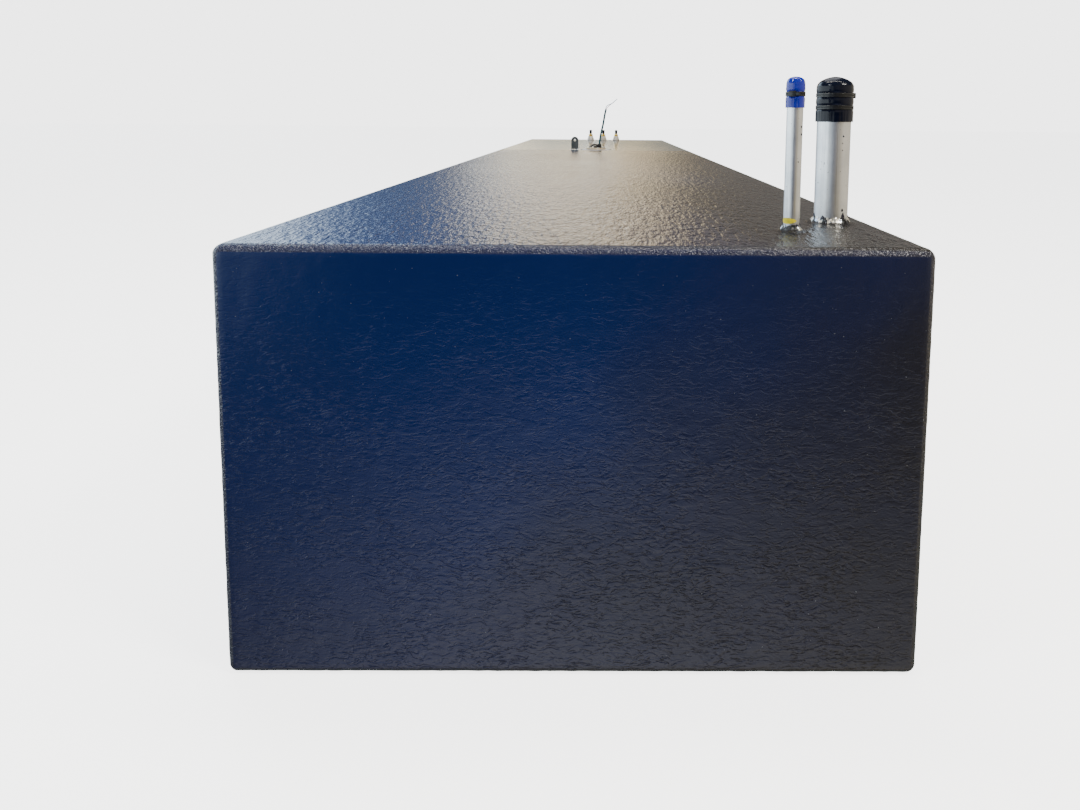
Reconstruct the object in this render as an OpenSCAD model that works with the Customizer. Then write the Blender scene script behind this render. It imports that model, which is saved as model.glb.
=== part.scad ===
// Welded aluminium water tank for a food truck, with a sprayed protective coating.
// The origin is at the middle of the underside, +Y runs along the tank to the outlet end, +Z is up.
// All sizes are in millimetres.

/* [Tank body] */
// Width across the coated sides
tank_w = 686; // [560:1:900]
// Length over the coated ends
tank_l = 3048; // [2400:1:3800]
// Height from the coated underside to the coated top
tank_h = 432; // [340:1:560]
// Thickness of the aluminium sheet
wall = 4.8; // [3:0.1:6]
// Outside radius of the four long edges
long_edge_r = 14; // [12:0.5:24]
// Outside radius of the edges and corners of both ends
end_edge_r = 10.5; // [9.5:0.5:20]
// Depth of the flange on each end plate
end_flange = 32; // [24:1:60]
// Depth of the top cover's side flanges
cover_flange = 40; // [24:1:80]
// Distance from the joint between the two top sheets back to the sender's axis
joint_from_sender = 65; // [62:1:120]
// Width of the strip under the joint
strip_w = 40; // [24:1:50]
// Thickness of the strip under the joint
strip_t = 3.2; // [2:0.1:5]

/* [Coating] */
// Thickness of the sprayed coating
coat_t = 2; // [1:0.1:3]

/* [Baffles] */
// Thickness of a baffle
baffle_t = 3.2; // [2:0.1:5]
// Depth of a baffle's welded flange
baffle_flange = 25; // [15:1:40]
// Diameter of the flow hole in the middle of a baffle
flow_hole_d = 150; // [100:1:200]
// Radius of the corner cuts that let water and air past a baffle
limber_r = 45; // [25:1:70]

/* [Fill pipe] */
// Outside diameter of the fill pipe
fill_od = 38.1; // [31:0.1:46]
// Wall of the fill pipe
fill_wall = 3.2; // [2:0.1:4]
// Height of the fill pipe above the coated top
fill_h = 157; // [130:1:220]
// Distance from the front end to the fill pipe's axis
fill_from_end = 174; // [120:1:400]
// Distance from the right side to the fill pipe's axis
fill_from_side = 49; // [45:1:90]

/* [Vent pipe] */
// Outside diameter of the vent pipe
vent_od = 17.2; // [13:0.1:22]
// Wall of the vent pipe
vent_wall = 2.3; // [1.5:0.1:3]
// Height of the vent pipe above the coated top
vent_h = 156; // [120:1:220]
// Distance from the front end to the vent pipe's axis
vent_from_end = 106; // [60:1:140]
// Distance from the right side to the vent pipe's axis
vent_from_side = 113; // [106:1:300]
// Height of the yellow tape above the coated top
tape_z = 8; // [8:0.5:60]
// Width of the yellow tape
tape_w = 6.5; // [4:0.5:20]
// Thickness of the yellow tape
tape_t = 0.4; // [0.2:0.1:0.8]

/* [Pipe caps and ties] */
// Wall of the fill cap
fill_cap_wall = 2; // [1.5:0.1:3]
// Height of the fill cap
fill_cap_h = 52; // [46:1:70]
// Wall of the vent cap
vent_cap_wall = 1.6; // [1.2:0.1:2.5]
// Height of the vent cap
vent_cap_h = 33; // [28:1:50]
// Closed thickness of a pipe cap's dome
cap_top_t = 3; // [2.5:0.1:4]
// Radius of the fill cap's shoulder
fill_cap_shoulder = 6; // [4:0.5:9]
// Radius of the vent cap's shoulder
vent_cap_shoulder = 4.5; // [3.5:0.5:6]
// Rise of the fill cap's top from its shoulder to its peak
fill_cap_peak = 5; // [3:0.1:6]
// Rise of the vent cap's top from its shoulder to its peak
vent_cap_peak = 3; // [2:0.1:4]
// Radial clearance between a pipe and its cap
cap_fit = 0.05; // [0.02:0.01:0.1]
// Gap between a pipe's end and the inside of its cap
cap_gap = 0.5; // [0.3:0.1:1]
// Width of a cable tie's band
tie_w = 4.7; // [3.6:0.1:5]
// Thickness of a cable tie's band
tie_t = 1.2; // [1:0.1:1.6]

/* [Welds and joints] */
// Leg of the weld around the fill pipe
fill_weld_leg = 5.5; // [4:0.5:8]
// Leg of the weld around the vent pipe
vent_weld_leg = 5; // [4:0.5:8]
// Height of the pipe welds above the sheet
weld_h = 9.5; // [6:0.5:10]
// Length of pipe that stands below the top sheet
stub_h = 12; // [6:1:30]
// Radial clearance between a pipe or fitting and the hole it stands in
hole_fit = 0.2; // [0.1:0.1:0.5]

/* [Bonding lug] */
// Width of the lug
lug_w = 25.8; // [20:0.1:34]
// Thickness of the lug
lug_t = 4.8; // [3:0.1:8]
// Height of the lug above the coated top
lug_h = 46.5; // [34:0.5:60]
// Diameter of the lug's hole
lug_hole_d = 8; // [5:0.1:12]
// Distance from the middle of the tank's width to the lug
lug_x = -72; // [-200:1:-71]
// Leg of the weld along the lug
lug_weld_leg = 4; // [3:0.5:6]

/* [Level sender] */
// Distance from the middle of the tank's width to the sender's axis
sender_x = 4; // [0:1:20]
// Distance from the sender's axis back to the fourth baffle
sender_from_baffle = 83; // [60:1:120]
// Diameter of the bare patch in the coating around the sender
bare_d = 110; // [104:1:120]
// Outside diameter of the welded mounting ring
ring_d = 98; // [86:1:102]
// Thickness of the mounting ring
ring_t = 3; // [3:0.1:5]
// Opening through the mounting ring and the top sheet
sender_hole_d = 42; // [41:0.1:44]
// Diameter of the gasket and the flange
flange_d = 69.8; // [68:0.1:76]
// Thickness of the gasket
gasket_t = 3; // [2:0.1:4]
// Thickness of the flange
flange_t = 2.5; // [2:0.1:4]
// Circle through the middles of the flange screws
screw_circle = 54; // [53:0.1:56]
// Number of flange screws
screw_count = 5; // [4:1:6]
// Diameter of a flange screw
screw_d = 5; // [4:0.1:5.2]
// Width of the connector head
head_w = 14; // [12:0.5:16]
// Height of the connector head
head_h = 14.5; // [12:0.5:16]
// Distance from the sender's axis to the middle of the connector head
head_x = 13; // [10:0.5:14]
// Diameter of the sender's stem
stem_d = 12.7; // [10:0.1:14]
// Diameter of the float
float_d = 40; // [30:0.5:40.5]
// Height of the float
float_h = 32; // [20:1:50]
// Radial clearance between the float and the stem
float_fit = 1; // [0.5:0.1:2]
// Height of a stop collar on the stem
stop_h = 5; // [3:0.5:10]
// Diameter of a stop collar
stop_d = 20; // [18:0.5:24]
// Height of the stem's lower end above the tank floor
stem_clear = 14; // [8:1:40]

/* [Outlets] */
// Distance from the middle of the tank's width to the middle outlet
outlet_x = 33; // [-60:1:60]
// Distance from the rear end to the row of outlets
outlet_from_end = 94; // [70:1:160]
// Distance between neighbouring outlets
outlet_pitch = 63.5; // [52:0.5:90]
// Diameter of an outlet bung's foot
bung_d = 32; // [30:0.5:38]
// Height of an outlet bung above the sheet
bung_h = 23; // [20:0.5:34]
// Diameter of the threaded hole in a bung
bung_bore_d = 17; // [16.5:0.1:18]
// Width across the corners of a barb fitting's hexagon
hex_d = 20; // [19:0.1:22]
// Height of a barb fitting's hexagon
hex_h = 9; // [7:0.5:12]
// Length of a fitting's plain neck between the hexagon and the cap
neck_h = 3; // [2:0.5:8]
// Outside diameter of the barbs
barb_d = 10.4; // [9:0.1:13]
// Length of the barbed end
barb_h = 16; // [15:0.5:22]
// Bore through a barb fitting and its dip tube
outlet_bore_d = 6.4; // [6:0.1:6.6]
// Outside diameter of a dip tube
dip_od = 9.5; // [9:0.1:10]
// Height of a dip tube's open end above the tank floor
dip_clear = 20; // [10:1:60]
// Wall of an outlet cap
outlet_cap_wall = 1.4; // [1:0.1:1.8]
// Closed thickness of an outlet cap's top
outlet_cap_top = 1.8; // [1.2:0.1:3]

/* [Sender wiring] */
// Diameter of the lead's sheath
lead_d = 7; // [6:0.1:8]
// Diameter of each conductor
conductor_d = 2.2; // [1.8:0.1:2.4]
// Diameter of the black jumper wire
jumper_d = 6.5; // [5:0.1:7]

/* [Hidden] */
$fn = 64;

// Colours
COATING = "#15233f";
SHEET = "#b9bcc0";
PIPE = "#c6c9cc";
WELD = "#a9abab";
BRASS = "#c8a24a";
BLACK = "#16171b";
BLUE = "#1c2c9a";
YELLOW = "#d8b81c";
TAN = "#b7a88a";
GASKET = "#6b5d4a";
STEEL = "#9a9da0";
TEAL = "#1f4a52";
PALE_BLUE = "#8fc4dd";
PINK = "#e3a9bd";

// Sheet metal box inside the coating
metal_w = tank_w - 2 * coat_t;
metal_l = tank_l - 2 * coat_t;
metal_h = tank_h - 2 * coat_t;
metal_top = tank_h - coat_t;
sheet_under = metal_top - wall;
floor_z = coat_t + wall;
inner_w = metal_w - 2 * wall;
inner_l = metal_l - 2 * wall;
inner_h = metal_h - 2 * wall;
cover_z = metal_top - cover_flange;
end_cut_y = metal_l / 2 - end_flange;
big = 2 * (tank_w + tank_l + tank_h);

// Baffles split the tank into equal compartments
baffle_count = 5;
compartment = tank_l / (baffle_count + 1);
function baffle_y(i) = (i - (baffle_count + 1) / 2) * compartment;

// The sender stands just ahead of the fourth baffle and the joint crosses the top just ahead of it
sender_y = baffle_y(4) - sender_from_baffle;
seam_y = sender_y - joint_from_sender;

// Pipes on the top
fill_x = tank_w / 2 - fill_from_side;
fill_y = -tank_l / 2 + fill_from_end;
vent_x = tank_w / 2 - vent_from_side;
vent_y = -tank_l / 2 + vent_from_end;
fill_weld_r = fill_od / 2 + fill_weld_leg;
vent_weld_r = vent_od / 2 + vent_weld_leg;
fill_top = tank_h + fill_h;
vent_top = tank_h + vent_h;
fill_cap_r = fill_od / 2 + cap_fit + fill_cap_wall;
vent_cap_r = vent_od / 2 + cap_fit + vent_cap_wall;

// A cap's dome starts just above the end of its pipe
dome_arc = 72;
function dome_h(shoulder, peak, cap_wall) = cap_top_t + peak + (shoulder - cap_wall) * sin(dome_arc);
fill_cap_z = fill_top + cap_gap + dome_h(fill_cap_shoulder, fill_cap_peak, fill_cap_wall) - fill_cap_h;
vent_cap_z = vent_top + cap_gap + dome_h(vent_cap_shoulder, vent_cap_peak, vent_cap_wall) - vent_cap_h;

// Places of the cable ties below the tops of their caps
fill_tie_upper_drop = 21.5;
fill_tie_lower_drop = 35.5;
vent_tie_drop = 18.5;

// Lug
lug_y = sender_y - 20;
lug_hole_z = tank_h + lug_h - lug_w / 2;

// Level sender, from the sheet upwards
ring_top = metal_top + ring_t;
gasket_top = ring_top + gasket_t;
flange_top = gasket_top + flange_t;
head_top = flange_top + head_h;
screw_r = screw_d / 2;
screw_head_r = 4.2;
screw_head_h = 2.6;
screw_tip_gap = 0.5;
stem_low = floor_z + stem_clear;
float_rest_gap = 0.3;
float_low = stem_low + stop_h + float_rest_gap;
upper_stop_z = sheet_under - 30;

// Outlets
outlet_y = tank_l / 2 - outlet_from_end;
bung_top = metal_top + bung_h;
hex_top = bung_top + hex_h;
neck_top = hex_top + neck_h;
thread_h = 16;
dip_socket_h = 8;
outlet_cap_r = barb_d / 2 + cap_fit + outlet_cap_wall;
function outlet_px(i) = outlet_x + (i - 2) * outlet_pitch;

// The lead leaves the connector head upwards; points are measured from where it leaves
lead_exit = [sender_x + head_x, sender_y, head_top];
lead_points = [
    [0, 0, 0], [0, 0, 8], [1, 0, 16], [2.5, 0, 25], [4, 0, 34], [6, 0, 43], [8, 0, 52], [10, 0, 61],
    [12, 0, 70], [13.5, 0, 79], [15, 0, 88], [16.5, 0, 97], [18, 0, 106], [20, 0, 115], [22, 0, 124]
];
// The conductors leave the end of the sheath; points are measured from its middle
sheath_end = lead_exit + lead_points[len(lead_points) - 1];
blue_points = [
    [-1.35, -1.2, 0.3], [-0.7, -1.2, 3.2], [0, -1.2, 6], [1, -1.2, 9], [3, -1.2, 12], [6, -1.2, 14.5],
    [9.5, -1.2, 16.5], [13, -1.2, 18], [17, -1.2, 19.5], [21, -1.2, 21.5], [25, -1.2, 24.5],
    [29, -1.2, 28], [33, -1.2, 31.5], [37, -1.2, 35], [40, -1.2, 37.5]
];
pink_points = [
    [1.35, 1.2, -0.3], [2, 1.2, 2.6], [3.5, 1.2, 5], [5.5, 1.2, 7.5], [8, 1.2, 10], [10.5, 1.2, 12.5],
    [13, 1.2, 15], [15.5, 1.2, 17], [18, 1.2, 19], [21, 1.2, 21], [24, 1.2, 23], [27, 1.2, 25.5],
    [29, 1.2, 27.5], [31, 1.2, 29.5], [33, 1.2, 31.5]
];
// The jumper leaves the side of the connector head and turns down to its boot on the flange
jumper_exit = [sender_x + head_x - head_w / 2, sender_y, flange_top + 10];
jumper_points = [
    [0, 0, 0], [-3, 0, 0], [-7, 0, 0.8], [-11.5, 0, 1], [-16, 0, 0.2], [-20, 0, -1.8],
    [-23, 0, -4.6], [-25, 0, -7]
];
boot_l = 8;
boot_w = 8;
boot_h = 5;

// ---- shared shapes ----

module round_rect(a, b, r) {
    square([a - 2 * r, b], center = true);
    square([a, b - 2 * r], center = true);
    for (x = [-1, 1], y = [-1, 1])
        translate([x * (a / 2 - r), y * (b / 2 - r)]) circle(r);
}

// Box with round edges, standing on z = low
module edged_box(w, l, h, low, r_long, r_end) {
    translate([0, 0, low + h / 2]) intersection() {
        rotate([90, 0, 0]) linear_extrude(l, center = true) round_rect(w, h, r_long);
        rotate([90, 0, 90]) linear_extrude(w, center = true) round_rect(l, h, r_end);
        linear_extrude(h, center = true) round_rect(w, l, r_end);
    }
}

module outside() {
    edged_box(tank_w, tank_l, tank_h, 0, long_edge_r, end_edge_r);
}

module metal_outside() {
    edged_box(metal_w, metal_l, metal_h, coat_t, long_edge_r - coat_t, end_edge_r - coat_t);
}

module metal_inside() {
    skin = coat_t + wall;
    edged_box(inner_w, inner_l, inner_h, floor_z, long_edge_r - skin, end_edge_r - skin);
}

module sheet_box() {
    difference() {
        metal_outside();
        metal_inside();
    }
}

// Block that spans the width from y0 to y1 and from z0 to z1
module span(y0, y1, z0, z1) {
    translate([-big / 2, y0, z0]) cube([big, y1 - y0, z1 - z0]);
}

module at(x, y, z) {
    translate([x, y, z]) children();
}

module ring(r_out, r_in, h) {
    difference() {
        cylinder(r = r_out, h = h);
        translate([0, 0, -1]) cylinder(r = r_in, h = h + 2);
    }
}

// Holes that every pipe and fitting needs in the top sheets
module sheet_holes() {
    depth = wall + 2;
    z = sheet_under - 1;
    at(fill_x, fill_y, z) cylinder(r = fill_od / 2 + hole_fit, h = depth);
    at(vent_x, vent_y, z) cylinder(r = vent_od / 2 + hole_fit, h = depth);
    at(sender_x, sender_y, z) cylinder(r = sender_hole_d / 2, h = depth);
    for (i = [1:3])
        at(outlet_px(i), outlet_y, z) cylinder(r = bung_bore_d / 2 + hole_fit, h = depth);
}

// Fillet weld around a round pipe
module pipe_weld(pipe_r, leg, z) {
    at(0, 0, z) rotate_extrude() polygon([
        [pipe_r, 0], [pipe_r + leg, 0], [pipe_r + leg, coat_t],
        [pipe_r + leg * 0.45, coat_t + (weld_h - coat_t) * 0.4], [pipe_r + 0.8, weld_h], [pipe_r, weld_h]
    ]);
}

// Outline of a soft cap: straight skirt, round shoulder and a low peaked top
function cap_outline(r, low, h, shoulder, peak) = concat(
    [[0, low], [r, low]],
    [for (a = [0:9:dome_arc])
        [r - shoulder + shoulder * cos(a), h - peak - shoulder * sin(dome_arc) + shoulder * sin(a)]],
    [[r * 0.12, h - 0.2 * peak], [0, h]]
);

module soft_cap(r, h, cap_wall, shoulder, peak) {
    difference() {
        rotate_extrude() polygon(cap_outline(r, 0, h, shoulder, peak));
        rotate_extrude() polygon(cap_outline(r - cap_wall, -1, h - cap_top_t, shoulder - cap_wall, peak));
    }
}

// Cable tie around a cap, with its head and cut tail at the angle turn
module cable_tie(cap_r, turn, head_size) {
    rotate([0, 0, turn]) {
        ring(cap_r + tie_t, cap_r, tie_w);
        difference() {
            translate([cap_r - 1, -head_size[0] / 2, (tie_w - head_size[1]) / 2])
                cube([1 + head_size[2], head_size[0], head_size[1]]);
            translate([0, 0, -head_size[1]]) cylinder(r = cap_r, h = 4 * head_size[1]);
        }
        translate([cap_r + head_size[2] - 1.6, head_size[0] / 2, 0.4])
            cube([tie_t, 5, tie_w - 0.8]);
        translate([cap_r + 0.2, head_size[0] / 2, 0.4])
            cube([head_size[2] - 0.8, tie_t, tie_w - 0.8]);
    }
}

// Round tube swept along points; u stays across the run and v completes the frame
function unit(v) = v / norm(v);
function run(p, i) = unit(p[min(i + 1, len(p) - 1)] - p[max(i - 1, 0)]);
function across(t) = unit([0, 1, 0] - t[1] * t);
module swept_tube(p, r, sides) {
    rings = len(p);
    points = [for (i = [0:rings - 1], k = [0:sides - 1])
        let (t = run(p, i), u = across(t), v = cross(t, u), a = 360 * k / sides)
        p[i] + r * cos(a) * u + r * sin(a) * v];
    sides_faces = [for (i = [0:rings - 2], k = [0:sides - 1])
        let (a = i * sides + k, b = i * sides + (k + 1) % sides)
        [a, a + sides, b + sides, b]];
    ends = [[for (k = [0:sides - 1]) k], [for (k = [sides - 1:-1:0]) (rings - 1) * sides + k]];
    polyhedron(points, concat(sides_faces, ends));
}

// ---- sheet metal ----

module bottom_pan() {
    color(SHEET) intersection() {
        sheet_box();
        span(-end_cut_y, end_cut_y, -1, cover_z);
    }
}

module top_cover(y0, y1) {
    color(SHEET) difference() {
        intersection() {
            sheet_box();
            span(y0, y1, cover_z, tank_h);
        }
        sheet_holes();
    }
}

module top_cover_front() {
    top_cover(-end_cut_y, seam_y);
}

module top_cover_rear() {
    top_cover(seam_y, end_cut_y);
}

module end_plate(side) {
    color(SHEET) intersection() {
        sheet_box();
        translate([-big / 2, side > 0 ? end_cut_y : -end_cut_y - big, -1]) cube([big, big, big]);
    }
}

module front_end() {
    end_plate(-1);
}

module rear_end() {
    end_plate(1);
}

// Strip welded under the joint of the two top sheets
module joint_strip() {
    strip_l = inner_w - 4 * wall;
    color(SHEET) translate([-strip_l / 2, seam_y - strip_w / 2, sheet_under - strip_t])
        cube([strip_l, strip_w, strip_t]);
}

module baffle(i) {
    y = baffle_y(i);
    color(SHEET) difference() {
        translate([-inner_w / 2, y, floor_z]) cube([inner_w, baffle_flange, inner_h]);
        translate([-inner_w / 2 + baffle_t, y + baffle_t, floor_z + baffle_t])
            cube([inner_w - 2 * baffle_t, baffle_flange, inner_h - 2 * baffle_t]);
        for (x = [-1, 1], z = [0, 1])
            translate([x * inner_w / 2, y - 1, floor_z + z * inner_h])
                rotate([-90, 0, 0]) cylinder(r = limber_r, h = baffle_flange + 2);
        translate([0, y - 1, floor_z + inner_h / 2])
            rotate([-90, 0, 0]) cylinder(d = flow_hole_d, h = baffle_t + 2);
    }
}

// ---- coating ----

module coating_skin() {
    color(COATING) difference() {
        outside();
        metal_outside();
        span(-big / 2, big / 2, -1, coat_t);
        at(fill_x, fill_y, metal_top - 1) cylinder(r = fill_weld_r, h = coat_t + 2);
        at(vent_x, vent_y, metal_top - 1) cylinder(r = vent_weld_r, h = coat_t + 2);
        at(sender_x, sender_y, metal_top - 1) cylinder(d = bare_d, h = coat_t + 2);
        for (i = [1:3])
            at(outlet_px(i), outlet_y, metal_top - 1) cylinder(d = bung_d, h = coat_t + 2);
        translate([lug_x - lug_w / 2 - lug_weld_leg, lug_y - lug_t / 2 - lug_weld_leg, metal_top - 1])
            cube([lug_w + 2 * lug_weld_leg, lug_t + 2 * lug_weld_leg, coat_t + 2]);
    }
}

module coating_underside() {
    color(COATING) intersection() {
        outside();
        span(-big / 2, big / 2, -1, coat_t);
    }
}

// ---- fill and vent ----

module fill_pipe() {
    color(PIPE) at(fill_x, fill_y, sheet_under - stub_h)
        ring(fill_od / 2, fill_od / 2 - fill_wall, fill_top - sheet_under + stub_h);
}

module fill_pipe_weld() {
    color(WELD) at(fill_x, fill_y, 0) pipe_weld(fill_od / 2, fill_weld_leg, metal_top);
}

module vent_pipe() {
    color(PIPE) at(vent_x, vent_y, sheet_under - stub_h)
        ring(vent_od / 2, vent_od / 2 - vent_wall, vent_top - sheet_under + stub_h);
}

module vent_pipe_weld() {
    color(WELD) at(vent_x, vent_y, 0) pipe_weld(vent_od / 2, vent_weld_leg, metal_top);
}

// Short piece of tape on the side of the vent pipe that faces the front end
module vent_tape() {
    color(YELLOW) at(vent_x, vent_y, tank_h + tape_z) intersection() {
        ring(vent_od / 2 + tape_t, vent_od / 2, tape_w);
        translate([-vent_od, -vent_od, -1]) cube([2 * vent_od, vent_od, tape_w + 2]);
    }
}

module fill_cap() {
    color(BLACK) at(fill_x, fill_y, fill_cap_z)
        soft_cap(fill_cap_r, fill_cap_h, fill_cap_wall, fill_cap_shoulder, fill_cap_peak);
}

module fill_tie_upper() {
    color(BLACK) at(fill_x, fill_y, fill_cap_z + fill_cap_h - fill_tie_upper_drop - tie_w / 2)
        cable_tie(fill_cap_r, 12, [8.5, 7, 5]);
}

module fill_tie_lower() {
    color(BLACK) at(fill_x, fill_y, fill_cap_z + fill_cap_h - fill_tie_lower_drop - tie_w / 2)
        cable_tie(fill_cap_r, 100, [8.5, 7, 5]);
}

module vent_cap() {
    color(BLUE) at(vent_x, vent_y, vent_cap_z)
        soft_cap(vent_cap_r, vent_cap_h, vent_cap_wall, vent_cap_shoulder, vent_cap_peak);
}

module vent_tie() {
    color(BLACK) at(vent_x, vent_y, vent_cap_z + vent_cap_h - vent_tie_drop - tie_w / 2)
        cable_tie(vent_cap_r, 240, [6.5, 7, 4.5]);
}

// ---- bonding lug ----

module bonding_lug() {
    color(SHEET) at(lug_x, lug_y, 0) difference() {
        union() {
            translate([-lug_w / 2, -lug_t / 2, metal_top])
                cube([lug_w, lug_t, lug_hole_z - metal_top]);
            translate([0, -lug_t / 2, lug_hole_z])
                rotate([-90, 0, 0]) cylinder(d = lug_w, h = lug_t);
        }
        translate([0, -lug_t / 2 - 1, lug_hole_z])
            rotate([-90, 0, 0]) cylinder(d = lug_hole_d, h = lug_t + 2);
    }
}

// One fillet along each face of the lug
module bonding_lug_weld() {
    color(WELD) at(lug_x, lug_y, metal_top) for (side = [0, 180])
        rotate([0, 0, side]) translate([lug_w / 2, lug_t / 2, 0])
            rotate([90, 0, -90]) linear_extrude(lug_w)
                polygon([[0, 0], [-lug_weld_leg, 0], [0, coat_t + lug_weld_leg]]);
}

// ---- level sender ----

module screw_places() {
    for (k = [0:screw_count - 1])
        rotate([0, 0, k * 360 / screw_count]) translate([screw_circle / 2, 0, 0]) children();
}

// A round plate with the screw holes through it
module drilled_ring(d, hole_d, t, screw_hole_r) {
    difference() {
        ring(d / 2, hole_d / 2, t);
        screw_places() translate([0, 0, -1]) cylinder(r = screw_hole_r, h = t + 2, $fn = 32);
    }
}

module sender_ring() {
    color(SHEET) at(sender_x, sender_y, metal_top) drilled_ring(ring_d, sender_hole_d, ring_t, screw_r);
}

module sender_gasket() {
    color(GASKET) at(sender_x, sender_y, ring_top)
        drilled_ring(flange_d, sender_hole_d, gasket_t, screw_r + hole_fit);
}

module sender_flange() {
    color(TAN) at(sender_x, sender_y, gasket_top)
        drilled_ring(flange_d, stem_d, flange_t, screw_r + hole_fit);
}

module sender_screws() {
    color(STEEL) at(sender_x, sender_y, 0) screw_places() {
        at(0, 0, flange_top) cylinder(r = screw_head_r, h = screw_head_h, $fn = 32);
        at(0, 0, metal_top + screw_tip_gap)
            cylinder(r = screw_r, h = flange_top - metal_top - screw_tip_gap, $fn = 32);
    }
}

module sender_head() {
    color(BLACK) at(sender_x, sender_y, flange_top) union() {
        cylinder(r = stem_d / 2 + 3, h = head_h * 0.45);
        translate([head_x - head_w / 2, -head_w / 2, 0]) cube([head_w, head_w, head_h]);
        translate([0, -head_w / 2, 0]) cube([head_x, head_w, head_h * 0.45]);
    }
}

module sender_stem() {
    color(STEEL) at(sender_x, sender_y, stem_low) cylinder(d = stem_d, h = flange_top - stem_low);
}

module stem_collar(z) {
    color(STEEL) at(sender_x, sender_y, z) ring(stop_d / 2, stem_d / 2, stop_h);
}

module sender_stop_upper() {
    stem_collar(upper_stop_z);
}

module sender_stop_lower() {
    stem_collar(stem_low);
}

module sender_float() {
    color(BLACK) at(sender_x, sender_y, float_low)
        ring(float_d / 2, stem_d / 2 + float_fit, float_h);
}

// ---- sender wiring ----

module sender_jumper() {
    color(BLACK) at(jumper_exit[0], jumper_exit[1], jumper_exit[2]) {
        swept_tube(jumper_points, jumper_d / 2, 12);
        translate([-24 - boot_l, -boot_w / 2, flange_top - jumper_exit[2]])
            cube([boot_l, boot_w, boot_h]);
    }
}

module sender_lead() {
    color(TEAL) translate(lead_exit) swept_tube(lead_points, lead_d / 2, 12);
}

module conductor_blue() {
    color(PALE_BLUE) translate(sheath_end) swept_tube(blue_points, conductor_d / 2, 8);
}

module conductor_pink() {
    color(PINK) translate(sheath_end) swept_tube(pink_points, conductor_d / 2, 8);
}

// ---- outlets ----

// Domed weld-in bung with a threaded hole
module outlet_bung(i) {
    foot_r = bung_d / 2;
    neck_r = hex_d / 2 + 1.5;
    color(SHEET) at(outlet_px(i), outlet_y, metal_top) rotate_extrude() polygon([
        [bung_bore_d / 2, 0], [foot_r, 0], [foot_r, 7], [foot_r - 1, 11], [foot_r - 2.8, 15.5],
        [neck_r, bung_h - 1.5], [neck_r - 1.5, bung_h], [bung_bore_d / 2, bung_h]
    ]);
}

// Hexagon, threaded shank and three barbs around one bore
module barb_fitting(i) {
    bore_r = outlet_bore_d / 2;
    step = barb_h / 3;
    color(BRASS) at(outlet_px(i), outlet_y, 0) difference() {
        union() {
            at(0, 0, bung_top - thread_h) cylinder(d = bung_bore_d, h = thread_h);
            at(0, 0, bung_top) cylinder(d = hex_d, h = hex_h, $fn = 6);
            at(0, 0, hex_top) cylinder(d = barb_d - 1.4, h = neck_h + barb_h);
            for (k = [0:2])
                at(0, 0, neck_top + k * step) rotate_extrude() polygon([
                    [0, 0], [barb_d / 2, 0], [barb_d / 2, 1], [barb_d / 2 - 0.7, step], [0, step]
                ]);
        }
        at(0, 0, bung_top - thread_h - 1) cylinder(r = bore_r, h = big);
        at(0, 0, bung_top - thread_h - 1) cylinder(d = dip_od, h = dip_socket_h + 1);
    }
}

module dip_tube(i) {
    low = floor_z + dip_clear;
    color(SHEET) at(outlet_px(i), outlet_y, low)
        ring(dip_od / 2, outlet_bore_d / 2, bung_top - thread_h + dip_socket_h - low);
}

module outlet_cap(i) {
    h = barb_h + cap_gap + outlet_cap_top;
    color(BLACK) at(outlet_px(i), outlet_y, neck_top) difference() {
        rotate_extrude() polygon([
            [0, 0], [outlet_cap_r, 0], [outlet_cap_r, h - 2], [outlet_cap_r - 0.6, h - 0.6],
            [outlet_cap_r - 2, h], [0, h]
        ]);
        translate([0, 0, -1]) cylinder(r = barb_d / 2 + cap_fit, h = h - outlet_cap_top + 1);
    }
}

bottom_pan();
top_cover_front();
top_cover_rear();
front_end();
rear_end();
joint_strip();
coating_skin();
coating_underside();
fill_pipe();
fill_pipe_weld();
vent_pipe();
vent_pipe_weld();
vent_tape();
fill_cap();
fill_tie_upper();
fill_tie_lower();
vent_cap();
vent_tie();
bonding_lug();
bonding_lug_weld();
sender_ring();
sender_gasket();
sender_flange();
sender_screws();
sender_head();
sender_stem();
sender_stop_upper();
sender_stop_lower();
sender_float();
sender_jumper();
sender_lead();
conductor_blue();
conductor_pink();
for (i = [1:baffle_count])
    baffle(i);
for (i = [1:3]) {
    outlet_bung(i);
    barb_fitting(i);
    dip_tube(i);
    outlet_cap(i);
}
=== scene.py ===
import math

import bmesh
import bpy
import numpy as np
from mathutils import Matrix, Vector, noise


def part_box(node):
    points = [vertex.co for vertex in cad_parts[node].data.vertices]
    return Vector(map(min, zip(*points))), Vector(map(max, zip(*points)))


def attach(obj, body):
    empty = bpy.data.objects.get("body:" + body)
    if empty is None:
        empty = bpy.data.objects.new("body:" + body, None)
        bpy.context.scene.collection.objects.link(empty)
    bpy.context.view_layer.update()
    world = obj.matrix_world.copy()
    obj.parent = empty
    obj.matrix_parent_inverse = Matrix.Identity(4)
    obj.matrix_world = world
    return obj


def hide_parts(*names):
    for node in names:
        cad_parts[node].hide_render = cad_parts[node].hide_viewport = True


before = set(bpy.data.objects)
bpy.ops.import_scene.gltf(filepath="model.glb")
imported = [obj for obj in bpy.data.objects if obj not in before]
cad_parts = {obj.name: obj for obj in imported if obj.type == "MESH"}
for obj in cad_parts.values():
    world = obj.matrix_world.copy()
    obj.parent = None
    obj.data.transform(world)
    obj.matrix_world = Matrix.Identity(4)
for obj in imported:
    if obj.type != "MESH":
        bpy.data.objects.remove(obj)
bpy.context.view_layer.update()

MM = 0.001
TAU = 2 * math.pi


# ---- places from the frame

def middle(node):
    low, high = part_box(node)
    return (low + high) / 2


def half_width(node):
    low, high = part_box(node)
    return (high.x - low.x) / 2


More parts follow.
